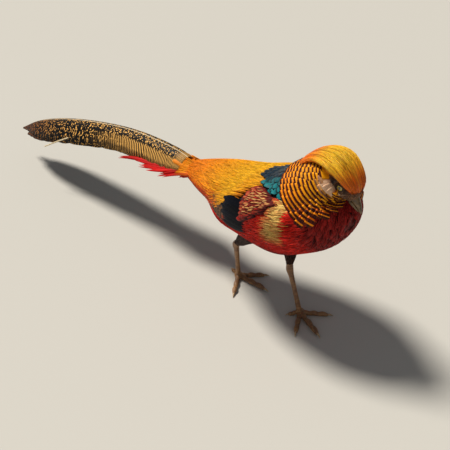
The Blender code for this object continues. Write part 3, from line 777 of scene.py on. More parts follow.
# %% Shape of the face
def bump_at(points, centre, radii):
    """A soft bump that is 1 at its centre and 0 at its radii, in cm."""
    away = np.linalg.norm((points / CM - np.array(centre)) / np.array(radii), axis=1)
    return np.clip(1 - away**2, 0, 1) ** 2


def shape_face(obj):
    points, outward = coordinates(obj), normals(obj)
    push = np.zeros(len(points))
    for name, side in SIDES.items():
        eye = EYE_PLACE[name] / CM
        offset = points / CM - eye
        ring = np.hypot(offset[:, 0] / 1.12, offset[:, 2])
        beside = np.clip(offset[:, 1] * side * 4 + 1, 0, 1) * (np.abs(offset[:, 1]) < 1.2)
        push += beside * 0.07 * np.exp(-((ring - 0.50) / 0.09) ** 2)
        push -= beside * 0.05 * np.exp(-((ring - 0.72) / 0.10) ** 2)
        push += beside * 0.035 * np.exp(-((ring - 0.88) / 0.08) ** 2) * (offset[:, 2] < 0.1)
        push += 0.20 * bump_at(points, eye + (-0.1, side * 0.15, -0.98), (0.75, 0.9, 0.42))
        push += 0.10 * bump_at(points, eye + (-1.5, side * 0.4, -0.7), (0.8, 1.0, 0.7))
        push += 0.10 * bump_at(points, eye + (0.5, side * -0.3, 0.75), (1.0, 0.9, 0.35))
    set_coordinates(obj, points + outward * (push * CM)[:, None])


def cut(obj, loft):
    """Cuts a loft out of an object."""
    cutter = add_mesh("cutter", *loft)
    boolean = obj.modifiers.new("Cut", "BOOLEAN")
    boolean.operation = "DIFFERENCE"
    boolean.object = cutter
    applied(obj)
    bpy.data.objects.remove(cutter)


shape_face(skin)
EYE_OPENING = (0.50, 0.42, 0.37)
for name, side in SIDES.items():
    opening = EYE_PLACE[name] + np.array((0.05, side * 0.55, 0.0)) * CM
    cut(skin, ball_loft(opening, EYE_OPENING))
skin.data.shade_smooth()
print("skin after the eyes are open", triangles(skin), "triangles")

# %% [markdown]
# ## Markings
# The tracts of the bird meet along lines that run round the body. One function gives, for any
# point, how much it belongs to each tract, and both skin and coat are coloured from it, so
# that no pale skin shows between two feathers.

# %% Markings
# Heights in cm of the lower edge of the gold and of the upper edge of the scarlet, against x
GOLD_EDGE = (
    (-22, 12.6), (-16.4, 13.6), (-13, 15.2), (-9.9, 17.3),
    (-8.3, 18.8), (-7.6, 20.0), (-5.1, 21.2), (-3.6, 21.7))
SCARLET_EDGE = (
    (-22, 13.2), (-12, 14.4), (-9, 15.3), (-6, 16.2),
    (-4.3, 17.2), (-2.3, 18.6), (-0.2, 20.4), (1.5, 22.3))


def step(value, low, high):
    """A smooth step from 0 at low to 1 at high. Low may be the larger of the two."""
    share = np.clip((value - low) / (high - low), 0, 1)
    return share * share * (3 - 2 * share)


def edge_height(edge, x):
    """The second number of an edge's pairs, against the first."""
    return np.interp(x, *np.array(edge, float).T)


def mantle_end(y):
    """The x where the mantle ends, at a y, in cm."""
    return -6.7 + 0.21 * (y - M) ** 2


def markings(points):
    """Masks of the tracts for points in metres. Later ones are painted over earlier ones."""
    x, y, z = (points / CM).T
    gold, scarlet = edge_height(GOLD_EDGE, x), edge_height(SCARLET_EDGE, x)
    along_neck = (x + 1.6) * 0.72 + (z - 19.2) * 0.69
    below_neck = (x + 1.6) * 0.69 - (z - 19.2) * 0.72
    behind_mantle = step(x, mantle_end(y) + 0.3, mantle_end(y) - 0.3)
    over_scarlet = step(z, scarlet - 0.2, scarlet + 0.2)
    return {
        "wing": over_scarlet * step(x, 1.8, 1.2),
        "chestnut": over_scarlet * step(x, -5.6, -4.8) * step(x, 1.8, 1.2),
        "gold": step(z, gold - 0.3, gold + 0.3) * behind_mantle,
        "mantle": (1 - behind_mantle) * step(z, 21.0, 21.6),
        "ruff": step(along_neck, 3.6, 4.2) * step(x, 7.4, 6.4),
        "throat": step(np.abs(y - M) - 0.7 * below_neck, 0.5, -0.5) * step(below_neck, 0.8, 1.6),
        "face": step(x - 0.5 * (z - 25), 5.2, 5.8) * step(z, 22.9, 23.6),
        "crest": step(z + 0.35 * x, 28.6, 28.9) * step(z, 25.0, 25.4),
        "thigh": step(z, 11.2, 10.6),
    }


# The throat's dark maroon is painted shade, as on the throat feathers over it.
TRACT_COLOURS = {
    "wing": (0.006, 0.007, 0.015), "chestnut": (0.14, 0.010, 0.006), "gold": (0.75, 0.22, 0.006),
    "mantle": (0.004, 0.018, 0.028), "ruff": (0.40, 0.11, 0.006), "throat": (0.12, 0.006, 0.005),
    "face": (0.16, 0.07, 0.03), "crest": (0.80, 0.28, 0.008), "thigh": (0.014, 0.005, 0.004),
}
SCARLET = (0.20, 0.005, 0.005)


def skin_material():
    """Skin with the colour of the tract above it, pores and fine wrinkles."""
    made, graph, shader = new_material("bird_skin", 0.6, specular=0.25)
    colour = graph.mix(graph.noise(graph.place(), 260.0), SCARLET, tuple(0.5 * c for c in SCARLET))
    for tract, tint in TRACT_COLOURS.items():
        colour = graph.mix(graph.value(tract), colour, tint)
    blotches = graph.ramp(graph.noise(graph.place(), 420.0, 3.0), 0.40, 0.56)
    colour = graph.mix(graph.times(graph.value("pale"), blotches), colour, (0.66, 0.42, 0.26))
    colour = graph.mix(graph.value("lid"), colour, (0.045, 0.022, 0.012))
    graph.put(shader.inputs["Base Color"], toned(graph, colour, 0.0, 0.4, 300.0))
    pores = graph.cells(graph.place(), 900.0)
    raised(graph, shader, graph.plus(pores, graph.noise(graph.place(), 700.0)), 0.6, 0.0005)
    return made


def face_values(points):
    """How pale the bare skin is below the eye and at the ear, and the dark lids."""
    pale, lid = np.zeros(len(points)), np.zeros(len(points))
    for name, side in SIDES.items():
        eye = EYE_PLACE[name] / CM
        pale = np.maximum(pale, bump_at(points, eye + (-0.1, side * 0.2, -1.0), (1.1, 1.4, 0.62)) ** 0.5)
        pale = np.maximum(pale, bump_at(points, eye + (-1.75, side * 0.5, -0.75), (0.62, 1.4, 0.6)) ** 0.5)
        offset = points / CM - eye
        ring = np.hypot(offset[:, 0] / 1.15, offset[:, 2]) + 3.0 * (offset[:, 1] * side < -0.2)
        lid = np.maximum(lid, step(ring, 0.72, 0.56))
    return pale, lid


points = coordinates(skin)
for tract, mask in markings(points).items():
    set_value(skin, tract, mask)
pale, lid = face_values(points)
set_value(skin, "pale", pale)
set_value(skin, "lid", lid)
set_value(skin, "tone", np.full(len(points), 0.5))
set_finish(skin, skin_material())
finish_piece(skin, "buff_face", "torso", "rump", "neck_ruff", "head", "thigh_left", "thigh_right")

# %% [markdown]
# ## Laying feathers
# A feather leaves the skin at its root, turns back along the body and ends on the surface of
# the coat. Each one is walked over the body's outer form in short steps. At each step it
# looks up the nearest surface, so it bends with the body and never cuts into it.

# %% Laying feathers
rng = np.random.default_rng(11)


class Ground:
    """A surface that feathers are laid on."""

    def __init__(self, *lofts):
        points, polygons = joined(lofts)
        faces = [list(map(int, row)) for rows in polygons for row in rows]
        self.tree = BVHTree.FromPolygons([Vector(p) for p in points], faces)

    def nearest(self, points):
        """The nearest surface point and its normal, for each point."""
        found = [self.tree.find_nearest(Vector(p))[:2] for p in points]
        return np.array([f[0] for f in found]), np.array([f[1] for f in found])

    def lay(self, roots, headings, lengths, lifts, stiff=0.3, sag=0.0):
        """Places, sideways axes and outward axes, each as feather by step by three numbers.

        Lifts are heights over the surface in cm for each step. Stiff is how far a feather
        stands off where the body falls away, and sag how much it hangs at each step.
        """
        roots, headings = np.asarray(roots, float), np.asarray(headings, float)
        lifts = np.broadcast_to(lifts, (len(roots), np.shape(lifts)[-1])) * CM
        steps = lifts.shape[1]
        pace = (np.asarray(lengths, float) * CM / (steps - 1))[:, None]
        place, outward = self.nearest(roots)
        places, acrosses, outwards = [], [], []
        way = unit(headings - outward * np.sum(headings * outward, 1, keepdims=True))
        for i in range(steps):
            places.append(place + outward * lifts[:, i:i + 1])
            acrosses.append(unit(np.cross(way, outward)))
            outwards.append(outward)
            free = place + way * pace
            near, normal = self.nearest(free)
            clear = np.maximum(np.sum((free - near) * normal, 1, keepdims=True), 0)
            place = near + normal * clear * stiff
            outward = normal
            way = way + np.array((0, 0, -sag))
            way = unit(way - outward * np.sum(way * outward, 1, keepdims=True))
        return tuple(np.stack(parts, 1) for parts in (places, acrosses, outwards))


body = Ground(BODY.loft())
print("ground ready")

# %% [markdown]
# ## A vane as a thin solid
# One blade is a ring of points repeated from root to tip: a few over the top, a few below and
# two on the rims, so that it is a thin, closed, slightly cambered solid. The widths along it
# give its outline, from a hair to a broad square-ended feather.

# %% Vanes
def blades(name, laid, half_widths, finish, columns=5, camber=0.18, thickness=0.03, roots=None, patch=0.003,
           roll=0.0, values=None, shares=None):
    """One mesh of many vanes. Half widths and thickness are in cm, and roots is the map place of each.
    Shares are the places of the rings along a vane, where they aren't even. Values holds a number
    for each vane, or for each ring of each vane."""
    place, across, outward = laid
    count, rings, _ = place.shape
    half = np.broadcast_to(half_widths, (count, rings)) * CM
    lean = rng.normal(0, roll, (count, 1, 1)) if roll else np.zeros((count, 1, 1))
    across, outward = unit(across + outward * lean), unit(outward - across * lean)
    over = np.linspace(-1, 1, columns)
    c = np.concatenate([over, over[-2:0:-1]])
    face = np.concatenate([np.ones(columns), -np.ones(columns - 2)])
    belly = thickness * CM * 0.5 * face * (1 - c**2)
    high = belly[None, None, :] - camber * half[..., None] * c**2
    points = place[:, :, None] + across[:, :, None] * (half[..., None] * c)[..., None]
    points = points + outward[:, :, None] * high[..., None]
    ring = len(c)
    first = (np.arange(count) * rings * ring)[:, None, None]
    i, k = np.arange(rings - 1)[None, :, None] * ring, np.arange(ring)[None, None, :]
    n = (k + 1) % ring
    corners = (first + i + k, first + i + n, first + i + ring + n, first + i + ring + k)
    quads = np.stack(np.broadcast_arrays(*corners), -1)
    starts = np.arange(count)[:, None] * rings * ring
    caps = np.concatenate([starts + np.arange(ring)[::-1], starts + (rings - 1) * ring + np.arange(ring)])
    vane_map = np.empty((count, rings, ring, 2))
    vane_map[..., 0] = (c + 1) / 2
    vane_map[..., 1] = (np.linspace(0, 1, rings) if shares is None else shares)[None, :, None]
    roots = np.full((count, 2), 0.5) if roots is None else roots
    bake_map = roots[:, None, None, :] + patch * (vane_map - 0.5)
    per_point = {"tone": rng.random(count)}
    per_point.update(values or {})
    spread = {}
    for key, value in per_point.items():
        value = np.asarray(value, float)
        value = value.reshape(count, -1, 1) * np.ones((1, rings, ring))
        spread[key] = value.ravel()
    maps = {"Vane": vane_map.reshape(-1, 2), "OFBake": bake_map.reshape(-1, 2)}
    return add_mesh(name, points.reshape(-1, 3), [quads.reshape(-1, 4), caps], finish, maps, spread)


def scatter(form, t_range, angle_range, along, around, jitter=0.35):
    """Staggered rows of roots on a form. Distances are in cm.

    The angles are in degrees, as a pair or as a function of t that gives a pair.
    """
    line = form.point(np.linspace(*t_range, 50), 0.0)
    length = np.sum(np.linalg.norm(np.diff(line, axis=0), axis=1)) / CM
    rows = max(int(length / along), 1)
    found_t, found_angle = [], []
    for row in range(rows):
        t = t_range[0] + (t_range[1] - t_range[0]) * (row + 0.5) / rows
        low, high = angle_range(t) if callable(angle_range) else angle_range
        angles = np.radians(np.linspace(low, high, 60))
        arc = np.sum(np.linalg.norm(np.diff(form.point(t, angles), axis=0), axis=1)) / CM
        count = max(int(arc / around), 1)
        shares = (np.arange(count) + 0.25 + 0.5 * (row % 2)) / count
        shares = shares + rng.normal(0, jitter * 0.5 / count, count)
        found_angle.append(np.radians(low + (high - low) * shares))
        found_t.append(t + rng.normal(0, jitter * (t_range[1] - t_range[0]) / rows * 0.5, count))
    return np.concatenate(found_t), np.concatenate(found_angle)


def unwrapped(t, angle):
    """Place on the unwrap of a form: round it across the map, along it up the map."""
    return np.stack([0.02 + 0.96 * ((angle / (2 * np.pi) + 0.5) % 1), 0.02 + 0.96 * np.clip(t, 0, 1)], -1)


def profile(*widths):
    return np.array(widths, float)


def stacked(laid):
    """Places, sideways axes and outward axes of all vanes, from those of each vane."""
    return tuple(np.stack(parts) for parts in zip(*laid))


print("vane tools ready")

# %% [markdown]
# ## Scarlet underparts
# Breast, belly and flanks are deep scarlet. The feathers are broad and loose with soft,
# hair-like edges, and dark lines show between them on the flank. Broad rounded vanes in
# staggered rows give the lie, and narrow barb locks over them break up their edges.

# %% Scarlet underparts
# The shift colours are a painted highlight, tan-gold on each flank in front of the wing.
scarlet_plume = plume(
    "scarlet_plume", (0.12, 0.002, 0.001), (0.95, 0.020, 0.007), tip_from=0.25, tip_to=0.65,
    shift=(0.85, 0.40, 0.06), shift_tip=(1.0, 0.66, 0.18), dark=(0.03, 0.0, 0.002), streak=0.65,
    own=0.5, drift=0.35, roughness=0.55, specular=0.15, barbs=26.0,
    # Painted shade: the value called shade darkens the scarlet towards this dark red.
    paint=lambda graph, colour, place, tone: graph.mix(graph.value("shade"), colour, (0.13, 0.004, 0.003)))


def painted_flank_highlight(points):
    """A painted highlight: the tan-gold patch of each flank, in front of the wing, as a share."""
    x, y, z = (points / CM).T
    middle = 0.4 + 0.16 * (z - 18.5)
    along = step(x - middle, 1.3, 1.0) * step(middle - x, 2.0, 0.3)
    return along * step(z, 15.2, 17.4) * step(np.abs(y - M), 2.6, 4.0)


def painted_belly_shade(points):
    """Painted shade: how far down the belly or round the front of the breast a point is, as a share."""
    return np.maximum(step(points[:, 2] / CM, 14.0, 11.5), 0.75 * step(points[:, 0] / CM, 2.5, 5.5))


def underparts_arc(t):
    """The angles that the scarlet covers: all round on the breast, and else below the back."""
    return (0, 360) if t > BODY.t(3.5) else (40, 320)


def sow_underparts(along, around, jitter):
    t, angle = scatter(BODY, (0.06, 0.999), underparts_arc, along, around, jitter)
    roots = BODY.point(t, angle)
    x, y, z = (roots / CM).T
    keep = (z < edge_height(SCARLET_EDGE, x - 0.8) + 0.2) | (x > 1.2)
    keep &= markings(roots)["thigh"] < 0.95
    return t[keep], angle[keep], roots[keep]


def lay_underparts(name, along, around, jitter, length, lifts, shape, half, columns, stray, roll):
    t, angle, roots = sow_underparts(along, around, jitter)
    over_breast = step(roots[:, :1] / CM, 5.0, 7.0)
    heading = -flow(BODY, t, angle) * (1 - over_breast) + np.array((0, 0, -1.0)) * over_breast
    heading = heading + rng.normal(0, stray, (len(t), 3))
    size = 0.85 + 0.3 * rng.random(len(t)) - 0.25 * step(t, 0.90, 1.0)
    laid = body.lay(roots, heading, length * size, lifts, stiff=0.25)
    widths = np.array(shape) * half * (0.8 + 0.4 * rng.random((len(t), 1)))
    # The shift value carries the painted flank highlight, and shade the painted shade of belly and breast.
    return blades(name, laid, widths, scarlet_plume, columns=columns, roots=unwrapped(t, angle), roll=roll,
                  values={"shift": np.clip(painted_flank_highlight(laid[0][:, -1]) * rng.normal(1, 0.25, len(t)), 0, 1),
                          "shade": painted_belly_shade(laid[0][:, -1])})


for piece in (
    lay_underparts(
        "scarlet_body_feathers", along=0.52, around=0.52, jitter=0.35, length=2.1,
        lifts=profile(-0.34, -0.16, -0.06, 0.0, 0.03, 0.05), shape=(0.3, 0.75, 1.0, 0.95, 0.6, 0.10),
        half=0.50, columns=5, stray=0.08, roll=0.12),
    lay_underparts(
        "scarlet_body_locks", along=0.42, around=0.30, jitter=0.9, length=2.0,
        lifts=profile(-0.16, 0.0, 0.06, 0.09, 0.10), shape=(0.5, 1.0, 0.9, 0.6, 0.08),
        half=0.085, columns=3, stray=0.10, roll=0.3),
):
    finish_piece(piece, "scarlet_plumage")


def lay_throat():
    t, angle = scatter(RUFF, (0.20, 0.99), (118, 242), 0.34, 0.32, jitter=0.6)
    roots = RUFF.point(t, angle)
    heading = -flow(RUFF, t, angle) + rng.normal(0, 0.08, (len(t), 3))
    lifts = profile(-0.5, -0.32, -0.2, -0.14, -0.1)
    laid = Ground(RUFF.loft(40, 50)).lay(roots, heading, 1.5 - 0.5 * t, lifts)
    widths = profile(0.4, 0.9, 1.0, 0.8, 0.2) * (0.26 + 0.06 * rng.random((len(t), 1)))
    # Painted shade: the throat feathers darken towards the chin.
    values = {"shift": np.zeros(len(t)), "shade": 0.5 + 0.5 * step(t, 0.6, 1.0)}
    return blades("throat_feathers", laid, widths, scarlet_plume, columns=3, roots=unwrapped(t, angle),
                  roll=0.2, values=values)


finish_piece(lay_throat(), "scarlet_plumage")

# %% [markdown]
# ## Golden back and rump
# From the mantle back, the feathers are long, narrow and hair-like, rich golden yellow above,
# orange over the rump and red at the lower fringe. They fall over the sides and over the
# upper edge of the folded wing. Slender pointed vanes are laid densely over body and wings.

# %% Golden back and rump
golden_plume = plume(
    "golden_plume", (0.85, 0.28, 0.002), (1.0, 0.62, 0.012), tip_from=0.1, tip_to=0.6,
    shift=(0.80, 0.16, 0.002), shift_tip=(0.96, 0.24, 0.004), dark=(0.34, 0.04, 0.0), streak=0.5,
    own=0.55, drift=0.2, roughness=0.5, specular=0.18, barbs=22.0, slant=8.0,
    paint=lambda graph, colour, place, tone: graph.mix(graph.value("red"), colour, (0.62, 0.018, 0.004)))


def lay_gold(name, along, around, lift, size, jitter):
    t, angle = scatter(BODY, BODY.t((-20.2, -1.0)), (-150, 150), along, around, jitter)
    roots = BODY.point(t, angle)
    x, y, z = (roots / CM).T
    edge = edge_height(GOLD_EDGE, x - 2.4)
    keep = (z > edge + 0.7) & (x < mantle_end(y) + 1.8)
    t, angle, roots, x, y, z, edge = (part[keep] for part in (t, angle, roots, x, y, z, edge))
    heading = -flow(BODY, t, angle) + rng.normal(0, 0.07, (len(t), 3))
    heading[:, 2] -= 0.32 * step(z - edge, 4.5, 0.5) * step(x, -14, -9)
    length = (2.6 + 1.0 * step(x, -8, -15)) * (0.85 + 0.35 * rng.random(len(t)))
    lifts = profile(-0.30, -0.06, 0.03, 0.08, 0.11, 0.13) + lift
    laid = body.lay(roots, heading, length, lifts, stiff=0.4, sag=0.02)
    widths = profile(0.45, 0.95, 1.0, 0.85, 0.5, 0.05) * size * (0.8 + 0.4 * rng.random((len(t), 1)))
    orange = 0.15 + 0.75 * step(x, -6, -17) + 0.25 * step(z - edge, 2.2, 0.4)
    red = step(z - edge + rng.normal(0, 0.5, len(z)), 2.8, 1.2) * step(x, -7.5, -10.5)
    red = red[:, None] * np.linspace(0.5, 1.0, 6)[None, :]
    return blades(name, laid, widths, golden_plume, columns=3, roots=unwrapped(t, angle), roll=0.25,
                  values={"shift": np.clip(orange, 0, 1), "red": red})


for piece in (
    lay_gold("golden_feathers", 0.40, 0.30, 0.0, 0.20, 0.6),
    lay_gold("golden_locks", 0.30, 0.24, 0.06, 0.075, 1.0),
):
    finish_piece(piece, "golden_plumage")

# %% [markdown]
# ## Mantle
# Between ruff and back lies a saddle of broad, rounded scale feathers, glossy blue-green with
# velvet black rims. On real barbs the green is made by structure, so it is shiny. A coat
# layer and a low roughness give that gloss without any metal.

# %% Mantle
# The shift colours, darker and bluer, are painted light: they stand in for the gloss, which turns from green
# to blue with the angle of light.
mantle_plume = plume(
    "mantle_plume", (0.002, 0.030, 0.042), (0.010, 0.19, 0.21), tip_from=0.35, tip_to=0.8,
    shift=(0.001, 0.003, 0.009), shift_tip=(0.003, 0.014, 0.030), dark=(0.002, 0.02, 0.03), streak=0.5,
    rim=(0.0005, 0.0008, 0.0015), side_width=0.12, tip_width=0.07, own=0.5, drift=0.3, roughness=0.4,
    specular=0.15, coat=0.05, coat_roughness=0.3, barbs=34.0, bump=0.2)


def lay_mantle():
    """Scales over the shoulders and up the back of the neck, under the ruff."""
    t, angle = scatter(BODY, BODY.t((-5.4, 1.0)), (-72, 72), 0.90, 0.80, jitter=0.06)
    u, turn = scatter(NECK, (0.12, 0.66), (-112, 112), 0.90, 0.80, jitter=0.06)
    roots = np.concatenate([BODY.point(t, angle), NECK.point(u, turn)])
    ways = np.concatenate([-flow(BODY, t, angle), -flow(NECK, u, turn)])
    patches = np.concatenate([unwrapped(t, angle), unwrapped(0.7 + 0.3 * u, turn)])
    lifts = profile(-0.15, 0.04, 0.10, 0.14, 0.18, 0.20, 0.21)
    ground = Ground(BODY.loft(), NECK.loft(60, 60))
    laid = ground.lay(roots, ways, 2.3 + 0.1 * rng.random(len(roots)), lifts)
    x, y, z = (laid[0][:, -1] / CM).T
    keep = (x > mantle_end(y) - 0.1) & (np.abs(y - M) < 5.5) & (z > 20.4)
    laid = tuple(part[keep] for part in laid)
    widths = profile(0.4, 0.8, 0.98, 1.0, 0.96, 0.80, 0.34) * (0.58 + 0.03 * rng.random((keep.sum(), 1)))
    # Painted light: darker and bluer along the top, where the gloss would change colour with the light.
    top = step(np.abs(y[keep] - M), 3.6, 1.9)
    return blades("mantle_feathers", laid, widths, mantle_plume, columns=9, camber=0.10, patch=0.02,
                  roots=patches[keep], values={"shift": top})


finish_piece(lay_mantle(), "barred_ruff")

# %% [markdown]
# ## Barred ruff
# The cape is the cock's fan: broad, square-ended orange feathers in about eleven tiers, each
# crossed by blue-black bars. Tier over tier, only the end of each feather shows, so the bars
# join into dark arcs round the cheek. The tips are set on even arcs and the roots follow.

# %% Barred ruff
RUFF_TIERS = 11
BARS_ON_FEATHER = 3.5  # a feather's length, in tiers
BARS_BEHIND = 20  # keeps the number of an arc above zero at the roots


def ruff_bars(graph, colour, place, tone):
    """Black bars on arcs that all feathers of the ruff share, one to a tier."""
    uneven = graph.times(graph.noise(place, 4.0), 0.04)
    at = graph.plus(graph.value("bar_at"), uneven)
    from_bar = graph.math("PINGPONG", at, 0.5)
    half = graph.times(graph.value("bar_share"), 0.5)
    bar = graph.ramp(graph.minus(from_bar, half), -0.03, 0.03, 1.0, 0.0)
    barred = graph.mix(bar, colour, (0.001, 0.001, 0.004))
    return graph.mix(graph.value("cheek"), barred, graph.mix(tone, (0.24, 0.11, 0.05), (0.74, 0.50, 0.32)))


ruff_plume = plume(
    "ruff_plume", (0.82, 0.22, 0.002), (1.0, 0.42, 0.006), tip_from=0.5, tip_to=0.9,
    dark=(0.50, 0.06, 0.0), streak=0.30, shift=(0.78, 0.15, 0.002), shift_tip=(0.96, 0.30, 0.004),
    own=0.25, drift=0.25, roughness=0.5, specular=0.12, barbs=30.0, paint=ruff_bars)


# The outermost tips, against degrees round the neck: place along the ruff, and reach from its line
OUTER_TIP = (
    (0, 0.42), (50, 0.424), (81, 0.407), (116, 0.405), (128, 0.43), (135, 0.47), (142, 0.56),
    (156, 0.72), (175, 0.80))
OUTER_REACH = (
    (0, 1.0), (100, 1.0), (116, 1.05), (128, 1.30), (135, 1.42), (142, 1.42), (156, 1.30), (175, 1.2))
INNER_TIP = ((0, 0.975), (60, 0.975), (85, 0.945), (125, 0.945), (150, 0.975))


def draped(place, shares, lift):
    """Lifts the outer rings of each vane clear of the breast and back that they hang over."""
    flat = place.reshape(-1, 3)
    near, normal = body.nearest(flat)
    height = np.sum((flat - near) * normal, 1)
    push = np.maximum(lift * CM - height, 0) * np.tile(step(shares, 0.2, 0.55), len(place))
    return (flat + normal * push[:, None]).reshape(place.shape)


def lay_ruff():
    tips, angles, tiers, pitches = [], [], [], []
    for tier in range(RUFF_TIERS):
        share = tier / (RUFF_TIERS - 1)
        spread = math.radians(170 - 10 * share)
        count = int(24 + 8 * share)
        places = np.linspace(-spread, spread, count) + (spread / count) * (tier % 2)
        places = places + rng.normal(0, 0.012, count)
        turned = np.degrees(np.abs(places))
        inner = edge_height(INNER_TIP, turned)
        pitch = (inner - edge_height(OUTER_TIP, turned)) / (RUFF_TIERS - 1)
        angles.append(places)
        pitches.append(pitch)
        tips.append(inner - pitch * (tier + rng.normal(0, 0.03, count)))
        tiers.append(np.full(count, share))
    tip, angle, share, pitch = (np.concatenate(parts)[:, None] for parts in (tips, angles, tiers, pitches))
    turned = np.degrees(np.abs(angle))
    shares = profile(0, 0.2, 0.4, 0.55, 0.68, 0.78, 0.86, 0.92, 0.965, 1.0)
    t = tip + pitch * BARS_ON_FEATHER * (1 - shares)
    arc = (edge_height(INNER_TIP, turned) - t) / pitch
    overshoot = np.maximum(t - 1, 0)
    place = RUFF.point(t, angle) + flow(RUFF, t, angle) * (overshoot * 0.10)[..., None]
    centre = RUFF.axes(np.minimum(t, 1))[0]
    reach = 1 + (edge_height(OUTER_REACH, turned) - 1) * np.clip(arc / (RUFF_TIERS - 1), 0, 1)
    place = centre + (place - centre) * reach[..., None]
    outward = unit(place - centre)
    along = unit(np.gradient(place, axis=1))
    across = unit(np.cross(along, outward))
    outward = unit(np.cross(across, along))
    lifts = -0.75 * (1 - shares) ** 1.6 + 0.10 * shares + 0.05
    place = draped(place + outward * (lifts * CM)[None, :, None], shares, 0.16)
    widths = profile(0.35, 0.6, 0.85, 0.96, 1.0, 1.02, 1.03, 1.02, 0.97, 0.80) * (0.62 + 0.34 * share)
    cheek = (step(share, 0.15, 0.05) * step(turned, 74, 84) * step(turned, 138, 126))[:, 0]
    bar_share = (0.50 + 0.08 * share + 0.10 * step(np.abs(angle), 1.6, 2.4) * share)[:, 0]
    values = {
        "bar_at": arc + BARS_BEHIND + 0.3 * bar_share[:, None], "bar_share": bar_share, "cheek": cheek,
        "shift": step(share[:, 0], 0.3, 1.0)}
    return blades("ruff_feathers", (place, across, outward), widths, ruff_plume, columns=9, camber=0.10,
                  patch=0.024, thickness=0.04, roots=unwrapped(tip[:, 0], angle[:, 0]), roll=0.03,
                  shares=shares, values=values)


finish_piece(lay_ruff(), "barred_ruff")

# %% [markdown]
# ## Silky crest
# Long, hair-like golden feathers rise from the bill over the crown and lie back to the nape
# like combed silk. Thousands of slender strands run along the crest's own form, in layers
# between its core and its surface, with their free points at the back.

# %% Silky crest
crest_plume = plume(
    "crest_plume", (0.92, 0.36, 0.004), (1.0, 0.68, 0.03), tip_from=0.0, tip_to=0.5,
    shift=(0.74, 0.10, 0.002), shift_tip=(0.90, 0.17, 0.003), dark=(0.50, 0.08, 0.0), streak=0.40,
    own=0.6, drift=0.2, roughness=0.4, specular=0.3, barbs=16.0, slant=4.0)
CREST_STRANDS = 3200
# Half the spread of the strands in degrees, against the place along the crest
CREST_EDGE = ((0, 96), (0.2, 96), (0.4, 84), (0.5, 68), (0.6, 60), (0.7, 58), (0.8, 68), (1, 80))


def lay_crest():
    count = CREST_STRANDS
    start = 0.01 + 0.62 * rng.random(count) ** 1.15
    lane = 2 * rng.random(count) - 1
    reach = 0.26 + 0.13 * rng.random(count)
    rings = 8
    share = np.linspace(0, 1, rings)[None, :]
    t = np.minimum(start[:, None] + reach[:, None] * share, 0.97)
    wave = rng.normal(0, 0.02, (count, 1)) * np.sin(share * 5 + rng.random((count, 1)) * 6)
    angles = np.radians(lane[:, None] * edge_height(CREST_EDGE, t)) + wave
    layer = 0.55 + 0.47 * rng.random((count, 1)) ** 0.6
    level = layer * np.clip(0.2 + share * 6, 0, 1)
    core, outside = CREST_CORE.point(t, angles), CREST.point(t, angles)
    place = core + (outside - core) * level[..., None]
    centre = CREST.axes(t)[0]
    outward = unit(outside - centre)
    along = unit(np.gradient(place, axis=1))
    widths = profile(0.6, 1.0, 1.0, 1.0, 0.95, 0.8, 0.5, 0.08) * (0.034 + 0.030 * rng.random((count, 1)))
    # Orange at the front and the back, brighter yellow between: partly the crest's own colour, partly a
    # painted highlight along its top.
    ends = np.clip(step(t, 0.40, 0.20) + step(t, 0.46, 0.72), 0, 1)
    ends = np.clip(ends + rng.normal(0, 0.12, (count, 1)), 0, 1)
    laid = (place, unit(np.cross(along, outward)), outward)
    return blades("crest_strands", laid, widths, crest_plume, columns=3,
                  roots=unwrapped(t[:, 0], angles[:, 0]), roll=0.35, values={"shift": ends})


finish_piece(lay_crest(), "crest_plumage", "crest")

# %% [markdown]
# ## Face down
# The cheeks and throat carry very short, rusty-brown down that thins out round the eye and on
# the pale bare patches. Tiny tufts point back from the bill.

# %% Face down
face_plume = plume(
    "face_plume", (0.10, 0.035, 0.014), (0.30, 0.12, 0.035), tip_from=0.1, tip_to=0.8,
    shift=(0.03, 0.014, 0.01), shift_tip=(0.07, 0.03, 0.016), dark=(0.03, 0.012, 0.008), streak=0.4,
    own=0.7, drift=0.5, roughness=0.6, sheen=0.3, barbs=8.0)


def lay_face():
    t, angle = scatter(HEAD, (0.16, 0.93), (30, 330), 0.115, 0.125, jitter=1.0)
    roots = HEAD.point(t, angle)
    away = [np.linalg.norm((roots - eye) / CM / (1.15, 1.0, 1.0), axis=1) for eye in EYE_PLACE.values()]
    eyes = np.min(away, axis=0)
    pale, _ = face_values(roots)
    keep = (eyes > 0.86) & (rng.random(len(t)) > 0.85 * pale)
    t, angle, roots, eyes = t[keep], angle[keep], roots[keep], eyes[keep]
    heading = -HEAD.axes(t)[3] + np.array((0, 0, -0.25)) + rng.normal(0, 0.2, (len(t), 3))
    length = 0.32 + 0.3 * step(t, 0.9, 0.2) * rng.random(len(t))
    ground = Ground(HEAD.inset(0.04).loft(40, 40))
    laid = ground.lay(roots, heading, length, profile(-0.04, 0.04, 0.07, 0.09))
    widths = profile(0.7, 1.0, 0.7, 0.1) * (0.045 + 0.02 * rng.random((len(t), 1)))
    # Darker close round the eye in the down's own colour, and darker under the head as painted shade.
    low = step(np.abs(np.degrees(angle) - 180), 70, 20)
    dark = np.clip(step(eyes, 1.35, 0.9) + 0.8 * low, 0, 1)
    return blades("face_down", laid, widths, face_plume, columns=3, thickness=0.02, roots=unwrapped(t, angle),
                  roll=0.3, values={"shift": dark})


finish_piece(lay_face(), "buff_face")

# %% [markdown]
# ## Eyes
# A cock's eye has a wide olive-yellow iris round a round black pupil, under a wet, clear
# surface. The ball is a fine sphere whose points know how far they are from its axis, and the
# colours are rings of that distance.

